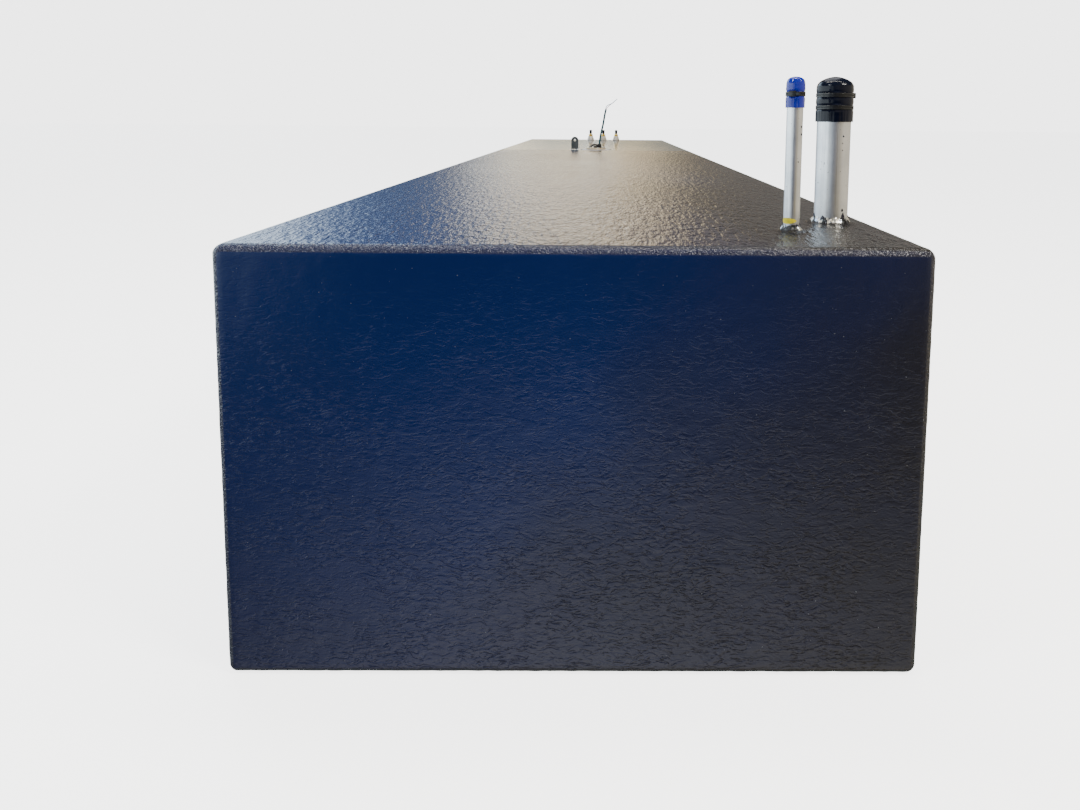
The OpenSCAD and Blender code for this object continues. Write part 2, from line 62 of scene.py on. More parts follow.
tank_low, tank_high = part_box("coating_skin")
tank_low = Vector((tank_low.x, tank_low.y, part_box("coating_underside")[0].z))
tank_top = tank_high.z
metal_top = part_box("sender_ring")[0].z
coat_t = tank_top - metal_top
joint_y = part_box("top_cover_rear")[0].y
fill_axis = middle("fill_pipe")
vent_axis = middle("vent_pipe")
sender_axis = middle("sender_ring")
fill_r = half_width("fill_pipe")
vent_r = half_width("vent_pipe")


# ---- camera and stage

# The view looks along the tank from just above its top; the angles are in degrees
CAMERA_PLACE = (0.0237, -2.1906, 0.5539)
CAMERA_YAW = 0.49
CAMERA_PITCH = -5.40
CAMERA_ROLL = 0.51
CAMERA_LENS = 24.05
CAMERA_SHIFT = (-0.0623, -0.2046)


def make_camera():
    yaw, pitch, roll = (math.radians(a) for a in (CAMERA_YAW, CAMERA_PITCH, CAMERA_ROLL))
    forward = Vector((math.sin(yaw) * math.cos(pitch), math.cos(yaw) * math.cos(pitch), math.sin(pitch)))
    level = Vector((math.cos(yaw), -math.sin(yaw), 0))
    upright = level.cross(forward)
    right = level * math.cos(roll) + upright * math.sin(roll)
    up = -level * math.sin(roll) + upright * math.cos(roll)
    camera = bpy.data.objects.new("camera", bpy.data.cameras.new("camera"))
    bpy.context.scene.collection.objects.link(camera)
    turn = Matrix((right, up, -forward)).transposed().to_4x4()
    camera.matrix_world = Matrix.Translation(CAMERA_PLACE) @ turn
    camera.data.sensor_width = 36
    camera.data.lens = CAMERA_LENS
    camera.data.shift_x, camera.data.shift_y = CAMERA_SHIFT
    bpy.context.scene.camera = camera


# ---- node helpers

class Nodes:
    """Builds a shader from short calls; each call returns the new node's output."""

    def __init__(self, tree):
        self.tree = tree
        self.tree.nodes.clear()

    def add(self, kind, inputs=(), **settings):
        node = self.tree.nodes.new(kind)
        for key, value in settings.items():
            setattr(node, key, value)
        for key, value in dict(inputs).items():
            if isinstance(value, bpy.types.NodeSocket):
                self.tree.links.new(value, node.inputs[key])
            elif value is not None:
                node.inputs[key].default_value = value
        return node

    def math(self, operation, a, b=0.0, clamp=False):
        return self.add("ShaderNodeMath", {0: a, 1: b}, operation=operation, use_clamp=clamp).outputs[0]

    def plus(self, a, b, clamp=False):
        return self.math("ADD", a, b, clamp)

    def times(self, a, b):
        return self.math("MULTIPLY", a, b)

    def vector(self, operation, a, b):
        return self.add("ShaderNodeVectorMath", {0: a, 1: b}, operation=operation).outputs[0]

    def spread(self, value, low, high, to_low=0.0, to_high=1.0):
        node = self.add("ShaderNodeMapRange", {
            "Value": value, "From Min": low, "From Max": high, "To Min": to_low, "To Max": to_high})
        return node.outputs["Result"]

    def mix(self, factor, a, b):
        node = self.add("ShaderNodeMix", data_type="RGBA")
        for socket, value in (("Factor_Float", factor), ("A_Color", a), ("B_Color", b)):
            target = next(s for s in node.inputs if s.identifier == socket)
            if isinstance(value, bpy.types.NodeSocket):
                self.tree.links.new(value, target)
            else:
                target.default_value = value
        return next(s for s in node.outputs if s.identifier == "Result_Color")

    def place(self, scale=(1, 1, 1), turn=(0, 0, 0), shift=(0, 0, 0), source=None):
        source = source or self.add("ShaderNodeTexCoord").outputs["Object"]
        return self.add("ShaderNodeMapping", {
            "Vector": source, "Scale": scale, "Rotation": turn, "Location": shift}).outputs["Vector"]

    def noise(self, where, detail=3.0, roughness=0.5, distortion=0.0, output="Fac"):
        node = self.add("ShaderNodeTexNoise", {
            "Vector": where, "Scale": 1.0, "Detail": detail, "Roughness": roughness,
            "Distortion": distortion})
        return node.outputs[output]

    def ramp(self, value, low, high, stops):
        """Colour that changes along a value, given as (value, colour) stops."""
        node = self.add("ShaderNodeValToRGB", {0: self.spread(value, low, high)})
        elements = node.color_ramp.elements
        while len(elements) < len(stops):
            elements.new(0.5)
        for element, (where, colour) in zip(elements, stops):
            element.position = (where - low) / (high - low)
            element.color = rgb(*colour)
        return node.outputs[0]

    def bump(self, height, distance):
        return self.add("ShaderNodeBump", {
            "Height": height, "Distance": distance, "Strength": 1.0}).outputs[0]


def rgb(r, g, b):
    return (r, g, b, 1.0)


def new_material(name):
    material = bpy.data.materials.new(name)
    material.use_nodes = True
    return material, Nodes(material.node_tree)


def close_material(nodes, colour, roughness, normal=None, metallic=0.0, **fixed):
    """Ends a material in one shader; values the same all over are set on its own sockets."""
    inputs = {"Base Color": colour, "Roughness": roughness, "Metallic": metallic, "Normal": normal}
    inputs.update({key.replace("_", " "): value for key, value in fixed.items()})
    shader = nodes.add("ShaderNodeBsdfPrincipled", inputs)
    nodes.add("ShaderNodeOutputMaterial", {"Surface": shader.outputs[0]})


# ---- materials

# The coating's navy, plum and charcoal are partly its own tone; how they are laid over the tank is a painted
# reflection gradient.
NAVY = rgb(0.0035, 0.0165, 0.098)
PLUM = rgb(0.012, 0.016, 0.052)
CHARCOAL = rgb(0.010, 0.010, 0.012)
# Painted sheen: a brown-grey tint for the rounded edges, standing in for the lit room they reflect.
PAINTED_EDGE_SHEEN = rgb(0.060, 0.050, 0.040)
DRY_SPRAY = rgb(0.20, 0.21, 0.22)

# How many times a metre each pattern of the coating changes: across, along and up
SWAY_RATE = (38, 38, 38)
FOLD_RATE = (78, 100, 235)
RUN_RATE = (120, 120, 240)
PATCH_RATE = (15, 15, 22)
GRAIN_RATE = (620, 620, 620)
LUMP_RATE = (300, 330, 330)
SHORT_PEBBLE_RATE = (330, 120, 330)
LONG_PEBBLE_RATE = (120, 40, 120)
CLOUD_RATE = (2.3, 1.1, 2.6)
FLECK_RATE = (330, 330, 330)

# How high each pattern stands, in millimetres
SWAY = (14 * MM, 14 * MM, 14 * MM)
GROOVE, FOLD, GRAIN, EDGE_LUMP, SHORT_PEBBLE, LONG_PEBBLE = 0.20, 0.5, 0.06, 2.2, 1.2, 1.7


def coating_finish():
    """Sprayed coating, glossy, with level wrinkles and rope-like edges; navy to charcoal across it, partly its
    own tone and partly a painted reflection gradient.
    """
    material, n = new_material("sprayed_navy_black_coating")
    split = n.add("ShaderNodeSeparateXYZ", {0: n.add("ShaderNodeNewGeometry").outputs["Normal"]})
    flatness = 0.0
    for axis in "XYZ":
        flatness = n.math("MAXIMUM", flatness, n.math("ABSOLUTE", split.outputs[axis]))
    on_edge = n.spread(flatness, 0.995, 0.95)
    on_top = n.spread(split.outputs["Z"], 0.7, 0.9)
    place = n.add("ShaderNodeSeparateXYZ", {0: n.place()})
    past_joint = n.times(on_top, n.spread(place.outputs["Y"], joint_y - 0.004, joint_y + 0.004))

    # level wrinkles, longest across the tank, on a surface that is bent by a slow drift
    sway = n.noise(n.place(SWAY_RATE), detail=2, output="Color")
    bent = n.vector("ADD", n.place(), n.vector("MULTIPLY", sway, SWAY))
    folds = n.noise(n.place(FOLD_RATE, source=bent), detail=2, roughness=0.45, distortion=0.4)
    off_line = n.spread(n.math("ABSOLUTE", n.math("SUBTRACT", folds, 0.5)), 0.0, 0.085)
    runs = n.spread(n.noise(n.place(RUN_RATE, shift=(4, 1, 6)), detail=1), 0.38, 0.56)
    groove = n.times(n.math("SUBTRACT", off_line, 1.0), runs)
    wrinkle = n.plus(n.times(groove, GROOVE), n.times(folds, FOLD))
    patches = n.noise(n.place(PATCH_RATE), detail=2)
    downward = n.spread(place.outputs["Z"], tank_high.z, tank_low.z)
    smoother = n.spread(past_joint, 0.0, 1.0, 1.0, 0.12)
    all_over = n.math("MAXIMUM", n.spread(downward, 0.05, 0.5, 0.25, 1.0), on_top)
    amount = n.times(n.spread(patches, 0.3, 0.62, 0.4, 1.0), all_over)
    grain = n.noise(n.place(GRAIN_RATE), detail=1)
    lumps = n.noise(n.place(LUMP_RATE, turn=(0.0, 0.6, 0.5)), detail=2, roughness=0.55, distortion=0.8)
    height = n.times(wrinkle, amount)
    height = n.plus(height, n.times(grain, GRAIN))
    height = n.plus(height, n.times(n.times(lumps, on_edge), EDGE_LUMP))
    # the top is pebbled as well, each pebble longer along the tank
    short = n.noise(n.place(SHORT_PEBBLE_RATE, shift=(5, 2, 1)), detail=1, roughness=0.5)
    long = n.noise(n.place(LONG_PEBBLE_RATE, shift=(1, 8, 3)), detail=1, roughness=0.5)
    ripple = n.plus(n.times(short, SHORT_PEBBLE), n.times(long, LONG_PEBBLE))
    height = n.plus(height, n.times(ripple, on_top))
    normal = n.bump(n.times(height, smoother), MM)

    # Painted reflection gradient: navy at the top left, plum going down, and charcoal going right, down and on
    # the top, standing in for the blue room reflected there.
    rightward = n.spread(place.outputs["X"], tank_low.x, tank_high.x)
    cloud = n.noise(n.place(CLOUD_RATE), detail=3, roughness=0.55)
    drift = n.spread(cloud, 0.3, 0.7, -0.15, 0.15)
    painted_reflection_down = n.plus(n.times(downward, 0.95), drift, clamp=True)
    colour = n.mix(n.spread(painted_reflection_down, 0.15, 0.80), NAVY, PLUM)
    grey = n.plus(n.times(rightward, 0.8),
                  n.math("MAXIMUM", n.times(downward, 0.35), n.times(on_top, 0.3)))
    colour = n.mix(n.spread(n.plus(grey, drift), 0.45, 1.0), colour, CHARCOAL)
    # stray flecks of dry spray
    fleck = n.noise(n.place(FLECK_RATE, shift=(3, 7, 5)), detail=1)
    colour = n.mix(n.spread(fleck, 0.775, 0.80, 0.0, 0.6), colour, DRY_SPRAY)
    # painted brown-grey sheen along the rounded edges
    colour = n.mix(n.times(on_edge, 0.4), colour, PAINTED_EDGE_SHEEN)
    roughness = n.plus(n.spread(cloud, 0.3, 0.7, 0.16, 0.22), n.times(grain, 0.05))
    roughness = n.times(roughness, n.spread(past_joint, 0.0, 1.0, 1.0, 0.4))
    close_material(n, colour, roughness, normal)
    return material


def metal_finish(name, colour, shade, roughness, streak=(1, 1, 1), speck=0.0, bump=0.00002, metallic=1.0):
    """Aluminium, steel or brass: drawn streaks, dull clouds and optional dark specks of coating."""
    material, n = new_material(name)
    lines = n.noise(n.place(streak), detail=4, roughness=0.6)
    cloud = n.noise(n.place((38, 38, 38)), detail=4, roughness=0.6)
    grain = n.noise(n.place((1500, 1500, 1500)), detail=1)
    base = n.mix(n.spread(cloud, 0.35, 0.68), colour, shade)
    base = n.mix(n.spread(lines, 0.42, 0.72, 0.0, 0.35), base, shade)
    rough = n.plus(n.spread(lines, 0.3, 0.7, roughness * 0.8, roughness * 1.2),
                   n.spread(grain, 0.3, 0.7, -0.03, 0.05))
    if speck:
        spots = n.noise(n.place((330, 330, 200)), detail=2, roughness=0.5)
        spot = n.spread(spots, 0.735 - speck * 0.1, 0.75 - speck * 0.1)
        base = n.mix(spot, base, rgb(0.012, 0.013, 0.016))
        metallic = n.spread(spot, 0.0, 1.0, metallic, 0.0)
    height = n.plus(n.times(lines, 0.6), grain)
    close_material(n, base, rough, n.bump(height, bump), metallic)
    return material


def weld_finish():
    """Smooth-flowed weld, smeared with coating; its lumps run from blue-grey to bright cream, partly its own
    tone and partly painted glare and a painted bluish reflection.
    """
    material, n = new_material("weld_with_coating_smears")
    lumps = n.noise(n.place((210, 210, 210)), detail=3, roughness=0.6)
    patch = n.noise(n.place((95, 95, 70), shift=(1, 4, 2)), detail=2, roughness=0.5, distortion=0.5)
    # Weld tone with painted light: bright cream is partly painted glare, and blue-grey is partly a painted
    # bluish reflection.
    weld_tone_and_painted_glare = n.mix(n.spread(lumps, 0.42, 0.60), rgb(0.34, 0.37, 0.43), rgb(0.96, 0.92, 0.80))
    covered = n.spread(patch, 0.53, 0.56)
    colour = n.mix(covered, weld_tone_and_painted_glare, rgb(0.008, 0.009, 0.012))
    metallic = n.spread(covered, 0.0, 1.0, 1.0, 0.0)
    roughness = n.spread(lumps, 0.3, 0.7, 0.20, 0.42)
    height = n.plus(lumps, n.times(covered, 0.6))
    close_material(n, colour, roughness, n.bump(height, 0.0007), metallic)
    return material


def moulded_finish(name, colour, worn, roughness, ripple=140.0, bump=0.00012, **fixed):
    """Dipped vinyl, nylon or moulded plastic: faint ripples, scuffs and a varied gloss."""
    material, n = new_material(name)
    soft = n.noise(n.place((ripple, ripple, ripple * 0.5)), detail=3)
    scuff = n.noise(n.place((420, 420, 120), shift=(2, 1, 3)), detail=4, roughness=0.7)
    base = n.mix(n.spread(scuff, 0.58, 0.78, 0.0, 0.45), colour, worn)
    rough = n.plus(n.spread(soft, 0.3, 0.7, roughness * 0.75, roughness * 1.25),
                   n.spread(scuff, 0.55, 0.8, 0.0, 0.18))
    grain = n.noise(n.place((1300, 1300, 1300)), detail=1)
    height = n.plus(soft, n.times(grain, 0.08))
    close_material(n, base, rough, n.bump(height, bump), **fixed)
    return material


def cork_finish():
    """Pressed cork and rubber: crumbs of two browns."""
    material, n = new_material("pressed_cork_gasket")
    crumb = n.add("ShaderNodeTexVoronoi", {"Vector": n.place(), "Scale": 900.0})
    tone = n.add("ShaderNodeSeparateColor", {0: crumb.outputs["Color"]}).outputs[0]
    colour = n.mix(n.spread(tone, 0.2, 0.9), rgb(0.20, 0.13, 0.07), rgb(0.48, 0.36, 0.22))
    close_material(n, colour, n.spread(tone, 0.0, 1.0, 0.65, 0.85), n.bump(crumb.outputs["Distance"], 0.0002))
    return material


def tape_finish():
    """Thin yellow tape with creases and grubby patches."""
    material, n = new_material("creased_yellow_tape")
    crease = n.noise(n.place((500, 500, 900)), detail=3, roughness=0.6)
    grime = n.noise(n.place((240, 240, 240)), detail=3)
    colour = n.mix(n.spread(grime, 0.5, 0.72), rgb(0.95, 0.78, 0.015), rgb(0.60, 0.47, 0.03))
    close_material(n, colour, n.spread(crease, 0.3, 0.7, 0.28, 0.5), n.bump(crease, 0.00012))
    return material


def floor_finish():
    material, n = new_material("pale_floor")
    mottle = n.noise(n.place((3, 3, 3)), detail=3)
    colour = n.mix(n.spread(mottle, 0.3, 0.7), rgb(0.86, 0.86, 0.86), rgb(0.90, 0.90, 0.90))
    close_material(n, colour, 0.85, Emission_Color=rgb(1, 1, 1), Emission_Strength=3.3)
    return material


COATING = coating_finish()
SHEET = metal_finish("mill_sheet", rgb(0.70, 0.71, 0.73), rgb(0.55, 0.56, 0.58), 0.38, (8, 300, 8))
TUBE = metal_finish("satin_drawn_tube", rgb(0.86, 0.87, 0.88), rgb(0.68, 0.70, 0.73), 0.37,
                    (700, 700, 5), speck=0.12)
RING = metal_finish("bare_turned_ring", rgb(0.96, 0.96, 0.96), rgb(0.86, 0.87, 0.88), 0.45, (90, 90, 90),
                    metallic=0.25)
# The lug is aluminium; its dark grey colour is painted shade and a painted dark reflection.
LUG = metal_finish("lug_painted_dark_grey", rgb(0.20, 0.22, 0.225), rgb(0.11, 0.13, 0.135), 0.42, (40, 200, 420))
BUNG = metal_finish("turned_bung", rgb(0.92, 0.90, 0.85), rgb(0.60, 0.54, 0.44), 0.42, (60, 60, 300), speck=0.1,
                    metallic=0.15)
BRASS = metal_finish("machined_brass", rgb(0.95, 0.66, 0.09), rgb(0.66, 0.40, 0.04), 0.34, (60, 60, 300),
                     metallic=0.55)
PLATED = metal_finish("yellow_zinc_plate", rgb(0.85, 0.76, 0.58), rgb(0.62, 0.52, 0.34), 0.42, (160, 160, 40),
                      metallic=0.45)
SCREW = metal_finish("zinc_screw", rgb(0.70, 0.70, 0.68), rgb(0.46, 0.45, 0.42), 0.32, (300, 300, 300))
STAINLESS = metal_finish("stainless_tube", rgb(0.62, 0.63, 0.64), rgb(0.50, 0.51, 0.52), 0.25, (700, 700, 6))
WELD = weld_finish()
BLACK_VINYL = moulded_finish("black_dipped_vinyl", rgb(0.004, 0.006, 0.016), rgb(0.022, 0.025, 0.036), 0.13,
                              Specular_IOR_Level=0.24)
BLUE_VINYL = moulded_finish("blue_dipped_vinyl", rgb(0.010, 0.018, 0.36), rgb(0.05, 0.07, 0.45), 0.14)
NYLON = moulded_finish("black_nylon_tie", rgb(0.010, 0.010, 0.011), rgb(0.05, 0.05, 0.05), 0.34, 300.0)
MOULDING = moulded_finish("black_moulding", rgb(0.014, 0.014, 0.016), rgb(0.06, 0.06, 0.06), 0.42, 400.0)
SHEATH = moulded_finish("teal_cable_sheath", rgb(0.016, 0.070, 0.085), rgb(0.06, 0.15, 0.17), 0.40, 500.0)
BLUE_WIRE = moulded_finish("pale_blue_insulation", rgb(0.03, 0.24, 0.50), rgb(0.10, 0.32, 0.55), 0.35, 700.0)
PINK_WIRE = moulded_finish("pink_insulation", rgb(0.60, 0.09, 0.20), rgb(0.66, 0.20, 0.30), 0.35, 700.0)
FOAM = moulded_finish("black_float_foam", rgb(0.018, 0.018, 0.018), rgb(0.05, 0.05, 0.05), 0.7, 900.0, 0.0003)
CORK = cork_finish()
TAPE = tape_finish()


# ---- mesh helpers

SHARP = math.radians(38)


def finish_mesh(name, bm, material, sharp=SHARP):
    """Turns a closed bmesh into an object at the origin, smooth except at its sharp edges."""
    bmesh.ops.remove_doubles(bm, verts=bm.verts, dist=1e-7)
    bmesh.ops.recalc_face_normals(bm, faces=bm.faces)
    for edge in bm.edges:
        edge.smooth = len(edge.link_faces) == 2 and edge.calc_face_angle(math.pi) < sharp
    for face in bm.faces:
        face.smooth = True
    mesh = bpy.data.meshes.new(name)
    bm.to_mesh(mesh)
    bm.free()
    return place_mesh(name, mesh, material)


def place_mesh(name, mesh, material):
    mesh.materials.clear()
    mesh.materials.append(material)
    made = bpy.data.objects.new(name, mesh)
    bpy.context.scene.collection.objects.link(made)
    return made


def add_lathe(bm, outline, steps, centre, shape=None):
    """Turns a closed outline of (radius, height) about the upright axis through centre."""
    rings = []
    for r, z in outline:
        count = 1 if r < 1e-7 else steps
        ring = []
        for k in range(count):
            angle = TAU * k / steps
            rr, zz = shape(angle, r, z) if shape and count > 1 else (r, z)
            point = (centre[0] + rr * math.cos(angle), centre[1] + rr * math.sin(angle), zz)
            ring.append(bm.verts.new(point))
        rings.append(ring)
    for one, two in zip(rings, rings[1:] + rings[:1]):
        for k in range(steps):
            loop = []
            for v in (one[k % len(one)], one[(k + 1) % len(one)], two[(k + 1) % len(two)], two[k % len(two)]):
                if v not in loop:
                    loop.append(v)
            if len(loop) > 2:
                bm.faces.new(loop)


def lathe(name, outline, centre, material, steps=72, shape=None, sharp=SHARP):
    bm = bmesh.new()
    add_lathe(bm, outline, steps, centre, shape)
    return finish_mesh(name, bm, material, sharp)


def arc(cx, cz, r, start, end, steps):
    """Points along an arc of an outline; angles in degrees from the outward direction."""
    angles = [math.radians(start + (end - start) * i / steps) for i in range(steps + 1)]
    return [(cx + r * math.cos(a), cz + r * math.sin(a)) for a in angles]


def add_block(bm, low, high, bevel, turn=None, segments=2):
    """Box with rounded edges, from its low to its high corner."""
    made = bmesh.ops.create_cube(bm, size=1.0)["verts"]
    for v in made:
        v.co = Vector(((v.co[i] + 0.5) * (high[i] - low[i]) + low[i] for i in range(3)))
    edges = {e for v in made for e in v.link_edges}
    bevelled = bmesh.ops.bevel(bm, geom=list(edges), offset=bevel, segments=segments, affect="EDGES",
                               profile=0.6)
    if turn:
        verts = {v for f in bevelled["faces"] for v in f.verts} | {v for v in made if v.is_valid}
        bmesh.ops.transform(bm, matrix=turn, verts=list(verts))


def sweep(bm, points, radius, sides):
    """Closed round tube along points, without twist."""
    points = [Vector(p) for p in points]
    rings = []
    for i, p in enumerate(points):
        ahead = (points[min(i + 1, len(points) - 1)] - points[max(i - 1, 0)]).normalized()
        side = (Vector((0, 1, 0)) - ahead * ahead.y).normalized()
        over = ahead.cross(side)
        ring = []
        for k in range(sides):
            a = TAU * k / sides
            ring.append(bm.verts.new(p + side * (radius * math.cos(a)) + over * (radius * math.sin(a))))
        rings.append(ring)
    for one, two in zip(rings, rings[1:]):
        for k in range(sides):
            bm.faces.new((one[k], one[(k + 1) % sides], two[(k + 1) % sides], two[k]))
    bm.faces.new(rings[0][::-1])
    bm.faces.new(rings[-1])


def smooth_route(points, between):
    """A smooth curve through the points, with this many steps between neighbours."""
    p = [Vector(q) for q in points]
    ends = [p[0] * 2 - p[1]] + p + [p[-1] * 2 - p[-2]]
    out = []
    for i in range(1, len(ends) - 2):
        a, b, c, d = ends[i - 1:i + 3]
        for s in range(between):
            t = s / between
            out.append(0.5 * ((2 * b) + (c - a) * t + (2 * a - 5 * b + 4 * c - d) * t ** 2
                              + (3 * b - a - 3 * c + d) * t ** 3))
    return out + [p[-1]]


# ---- parts repeated around a ring

def ring_tree():
    """Geometry nodes that repeat one part around an upright axis, with a seeded unevenness."""
    tree = bpy.data.node_groups.new("parts_around_a_ring", "GeometryNodeTree")
    face = tree.interface
    face.new_socket("Geometry", in_out="OUTPUT", socket_type="NodeSocketGeometry")
    sockets = (("Part", "NodeSocketObject"), ("Count", "NodeSocketInt"), ("Radius", "NodeSocketFloat"),
               ("Start", "NodeSocketFloat"), ("Unevenness", "NodeSocketFloat"),
               ("Size Spread", "NodeSocketFloat"), ("Seed", "NodeSocketInt"),
               ("Finish", "NodeSocketMaterial"))
    for label, kind in sockets:
        face.new_socket(label, in_out="INPUT", socket_type=kind)
    n = Nodes(tree)
    given = n.add("NodeGroupInput").outputs
    step = n.math("DIVIDE", TAU, given["Count"])
    index = n.add("GeometryNodeInputIndex").outputs[0]
    angle = n.plus(n.times(index, step), given["Start"])
    uneven = n.add("FunctionNodeRandomValue", {"ID": index, "Seed": given["Seed"]}, data_type="FLOAT")
    low = n.times(given["Unevenness"], -1.0)
    tree.links.new(low, uneven.inputs[2])
    tree.links.new(given["Unevenness"], uneven.inputs[3])
    radius = n.plus(given["Radius"], uneven.outputs[1])
    where = n.add("ShaderNodeCombineXYZ", {
        0: n.times(radius, n.math("COSINE", angle)),
        1: n.times(radius, n.math("SINE", angle))}).outputs[0]
    points = n.add("GeometryNodePoints", {"Count": given["Count"], "Position": where}).outputs[0]
    size = n.add("FunctionNodeRandomValue", {
        "ID": index, "Seed": n.plus(given["Seed"], 11.0)}, data_type="FLOAT")
    tree.links.new(n.math("SUBTRACT", 1.0, given["Size Spread"]), size.inputs[2])
    tree.links.new(n.plus(1.0, given["Size Spread"]), size.inputs[3])
    part = n.add("GeometryNodeObjectInfo", {"Object": given["Part"]}).outputs["Geometry"]
    turned = n.add("ShaderNodeCombineXYZ", {2: angle}).outputs[0]
    placed = n.add("GeometryNodeInstanceOnPoints", {
        "Points": points, "Instance": part, "Rotation": turned, "Scale": size.outputs[1]}).outputs[0]
    real = n.add("GeometryNodeRealizeInstances", {"Geometry": placed}).outputs[0]
    done = n.add("GeometryNodeSetMaterial", {"Geometry": real, "Material": given["Finish"]}).outputs[0]
    n.add("NodeGroupOutput", {"Geometry": done})
    return tree


RING_TREE = ring_tree()


def ring_of(name, part, count, radius, centre, material, start=0.0, uneven=0.0, spread=0.0, seed=1):
    """Plain mesh of a part repeated around an upright axis; the part itself is used up."""
    holder = place_mesh(name, bpy.data.meshes.new(name), material)
    modifier = holder.modifiers.new("ring", "NODES")
    modifier.node_group = RING_TREE
    values = {"Part": part, "Count": count, "Radius": radius, "Start": start, "Unevenness": uneven,
              "Size Spread": spread, "Seed": seed, "Finish": material}
    for socket in RING_TREE.interface.items_tree:
        if socket.in_out == "INPUT":
            modifier[socket.identifier] = values[socket.name]
    bpy.context.view_layer.update()
    mesh = bpy.data.meshes.new_from_object(holder.evaluated_get(bpy.context.evaluated_depsgraph_get()))
    holder.modifiers.clear()
    bpy.data.objects.remove(holder)
    bpy.data.objects.remove(part)
    mesh.transform(Matrix.Translation(centre))
    return mesh


def join_meshes(name, meshes, material, sharp=SHARP):
    bm = bmesh.new()
    for mesh in meshes:
        bm.from_mesh(mesh)
    return finish_mesh(name, bm, material, sharp)


def take_mesh(made):
    """The mesh of an object that is only a step towards another one."""
    mesh = made.data
    bpy.data.objects.remove(made)
    return mesh


def settle(piece, body, slot, *nodes):
    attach(piece, body)
    if nodes:
        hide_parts(*nodes)
    return piece


# ---- sender wiring, which comes first

head_low, head_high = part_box("sender_head")
flange_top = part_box("sender_flange")[1].z
head_half = 7 * MM
lead_exit = Vector((head_high.x - head_half, sender_axis.y, head_high.z))
LEAD_D = 7 * MM
CONDUCTOR_D = 2.2 * MM
CONDUCTOR_ASIDE = 1.2

# Routes as (across, up) in millimetres from where the wire leaves
LEAD_ROUTE = [(0, 0), (0, 8), (1, 16), (2.5, 25), (4, 34), (6, 43), (8, 52), (10, 61), (12, 70), (13.5, 79),
              (15, 88), (16.5, 97), (18, 106), (20, 115), (22, 124)]
BLUE_ROUTE = [(-1.35, 0.3), (-0.7, 3.2), (0, 6), (1, 9), (3, 12), (6, 14.5), (9.5, 16.5), (13, 18),
              (17, 19.5), (21, 21.5), (25, 24.5), (29, 28), (33, 31.5), (37, 35), (40, 37.5)]
PINK_ROUTE = [(1.35, -0.3), (2, 2.6), (3.5, 5), (5.5, 7.5), (8, 10), (10.5, 12.5), (13, 15), (15.5, 17),
              (18, 19), (21, 21), (24, 23), (27, 25.5), (29, 27.5), (31, 29.5), (33, 31.5)]
JUMPER_ROUTE = [(0, 0), (-3, 0), (-7, 0.8), (-11.5, 1), (-16, 0.2), (-20, -1.8), (-23, -4.6), (-25, -7)]


def wire_path(start, route, aside, between):
    """Smooth path of a wire from its start, in an upright plane this many millimetres behind it."""
    return smooth_route([start + Vector((across, aside, up)) * MM for across, up in route], between)


def cord_piece(name, path, diameter, material, slot, node):
    bm = bmesh.new()
    sweep(bm, path, diameter / 2, 14)
    return settle(finish_mesh(name, bm, material, math.radians(60)), "tank", slot, node)


def make_wiring():
    sheath_end = lead_exit + Vector((LEAD_ROUTE[-1][0], 0, LEAD_ROUTE[-1][1])) * MM
    blue_path = wire_path(sheath_end, BLUE_ROUTE, -CONDUCTOR_ASIDE, 3)
    pink_path = wire_path(sheath_end, PINK_ROUTE, CONDUCTOR_ASIDE, 3)
    lead_path = wire_path(lead_exit, LEAD_ROUTE, 0, 3)
    blue = cord_piece("blue_conductor", blue_path, CONDUCTOR_D, BLUE_WIRE,
                      "blue_insulation", "conductor_blue")
    pink = cord_piece("pink_conductor", pink_path, CONDUCTOR_D, PINK_WIRE,
                      "pink_insulation", "conductor_pink")
    lead = cord_piece("sheathed_lead", lead_path, LEAD_D, SHEATH, "lead_sheath", "sender_lead")


make_camera()
make_wiring()


# ---- coating

EDGE_R = np.array([13.0, 10.0, 13.0]) * MM
END_EDGE_R = 10.0 * MM
EDGE_STEPS = 6
HALF = np.array([(tank_high.x - tank_low.x) / 2, (tank_high.y - tank_low.y) / 2, (tank_top - tank_low.z) / 2])
MID = np.array([(tank_high.x + tank_low.x) / 2, (tank_high.y + tank_low.y) / 2, (tank_top + tank_low.z) / 2])


def stops(axis, runs):
    """Places along one axis: close together over the round edges, then as the runs say."""
    half, r = HALF[axis], EDGE_R[axis]
    edge = r * np.linspace(0, 1, EDGE_STEPS + 1)
    flat = [-half + r]
    for end, step in runs:
        end = min(end, half - r)
        count = max(1, round((end - flat[-1]) / step))
        flat.extend(np.linspace(flat[-1], end, count + 1)[1:])
    return np.concatenate([-half + edge[:-1], flat, half - edge[-2::-1]])


def on_box(q):
    """Moves points of the square-edged box to the round-edged one, and gives their normals."""
    core = np.clip(q, -(HALF - EDGE_R), HALF - EDGE_R)
    out = (q - core) / EDGE_R
    far = np.abs(out)
    toward_end = far[:, 1:2] / (far[:, 0:1] + far[:, 1:2] + far[:, 2:3] + 1e-9)
    radius = EDGE_R + (END_EDGE_R - EDGE_R) * np.clip(2 * toward_end, 0, 1)
    out /= np.linalg.norm(out, axis=1, keepdims=True)
    round_core = np.sign(q) * (HALF - radius)
    spot = np.where(far > 1e-9, round_core + out * radius, core)
    normal = out / radius
    normal /= np.linalg.norm(normal, axis=1, keepdims=True)
    return spot + MID, normal


def field(points, scale, seed):
    shift = Vector((seed * 7.3, seed * 3.1, seed * 5.7))
    return np.array([noise.noise(Vector(p * scale) + shift) for p in points])


def smooth_step(value, low, high):
    t = np.clip((value - low) / (high - low), 0, 1)
    return t * t * (3 - 2 * t)


BARE_R = 54 * MM
SLACK = 0.5 * MM
NEAR_RIPPLE = 0.20 * MM
EDGE_DIP, EDGE_ROPE = 0.20 * MM, 0.22 * MM
RIDGE_HIGH, RIDGE_WIDE = 0.6 * MM, 6 * MM
SKIRT_HIGH, SKIRT_WIDE, SKIRT_IN = 2.6 * MM, 5 * MM, 3 * MM
TORN = 1.5 * MM


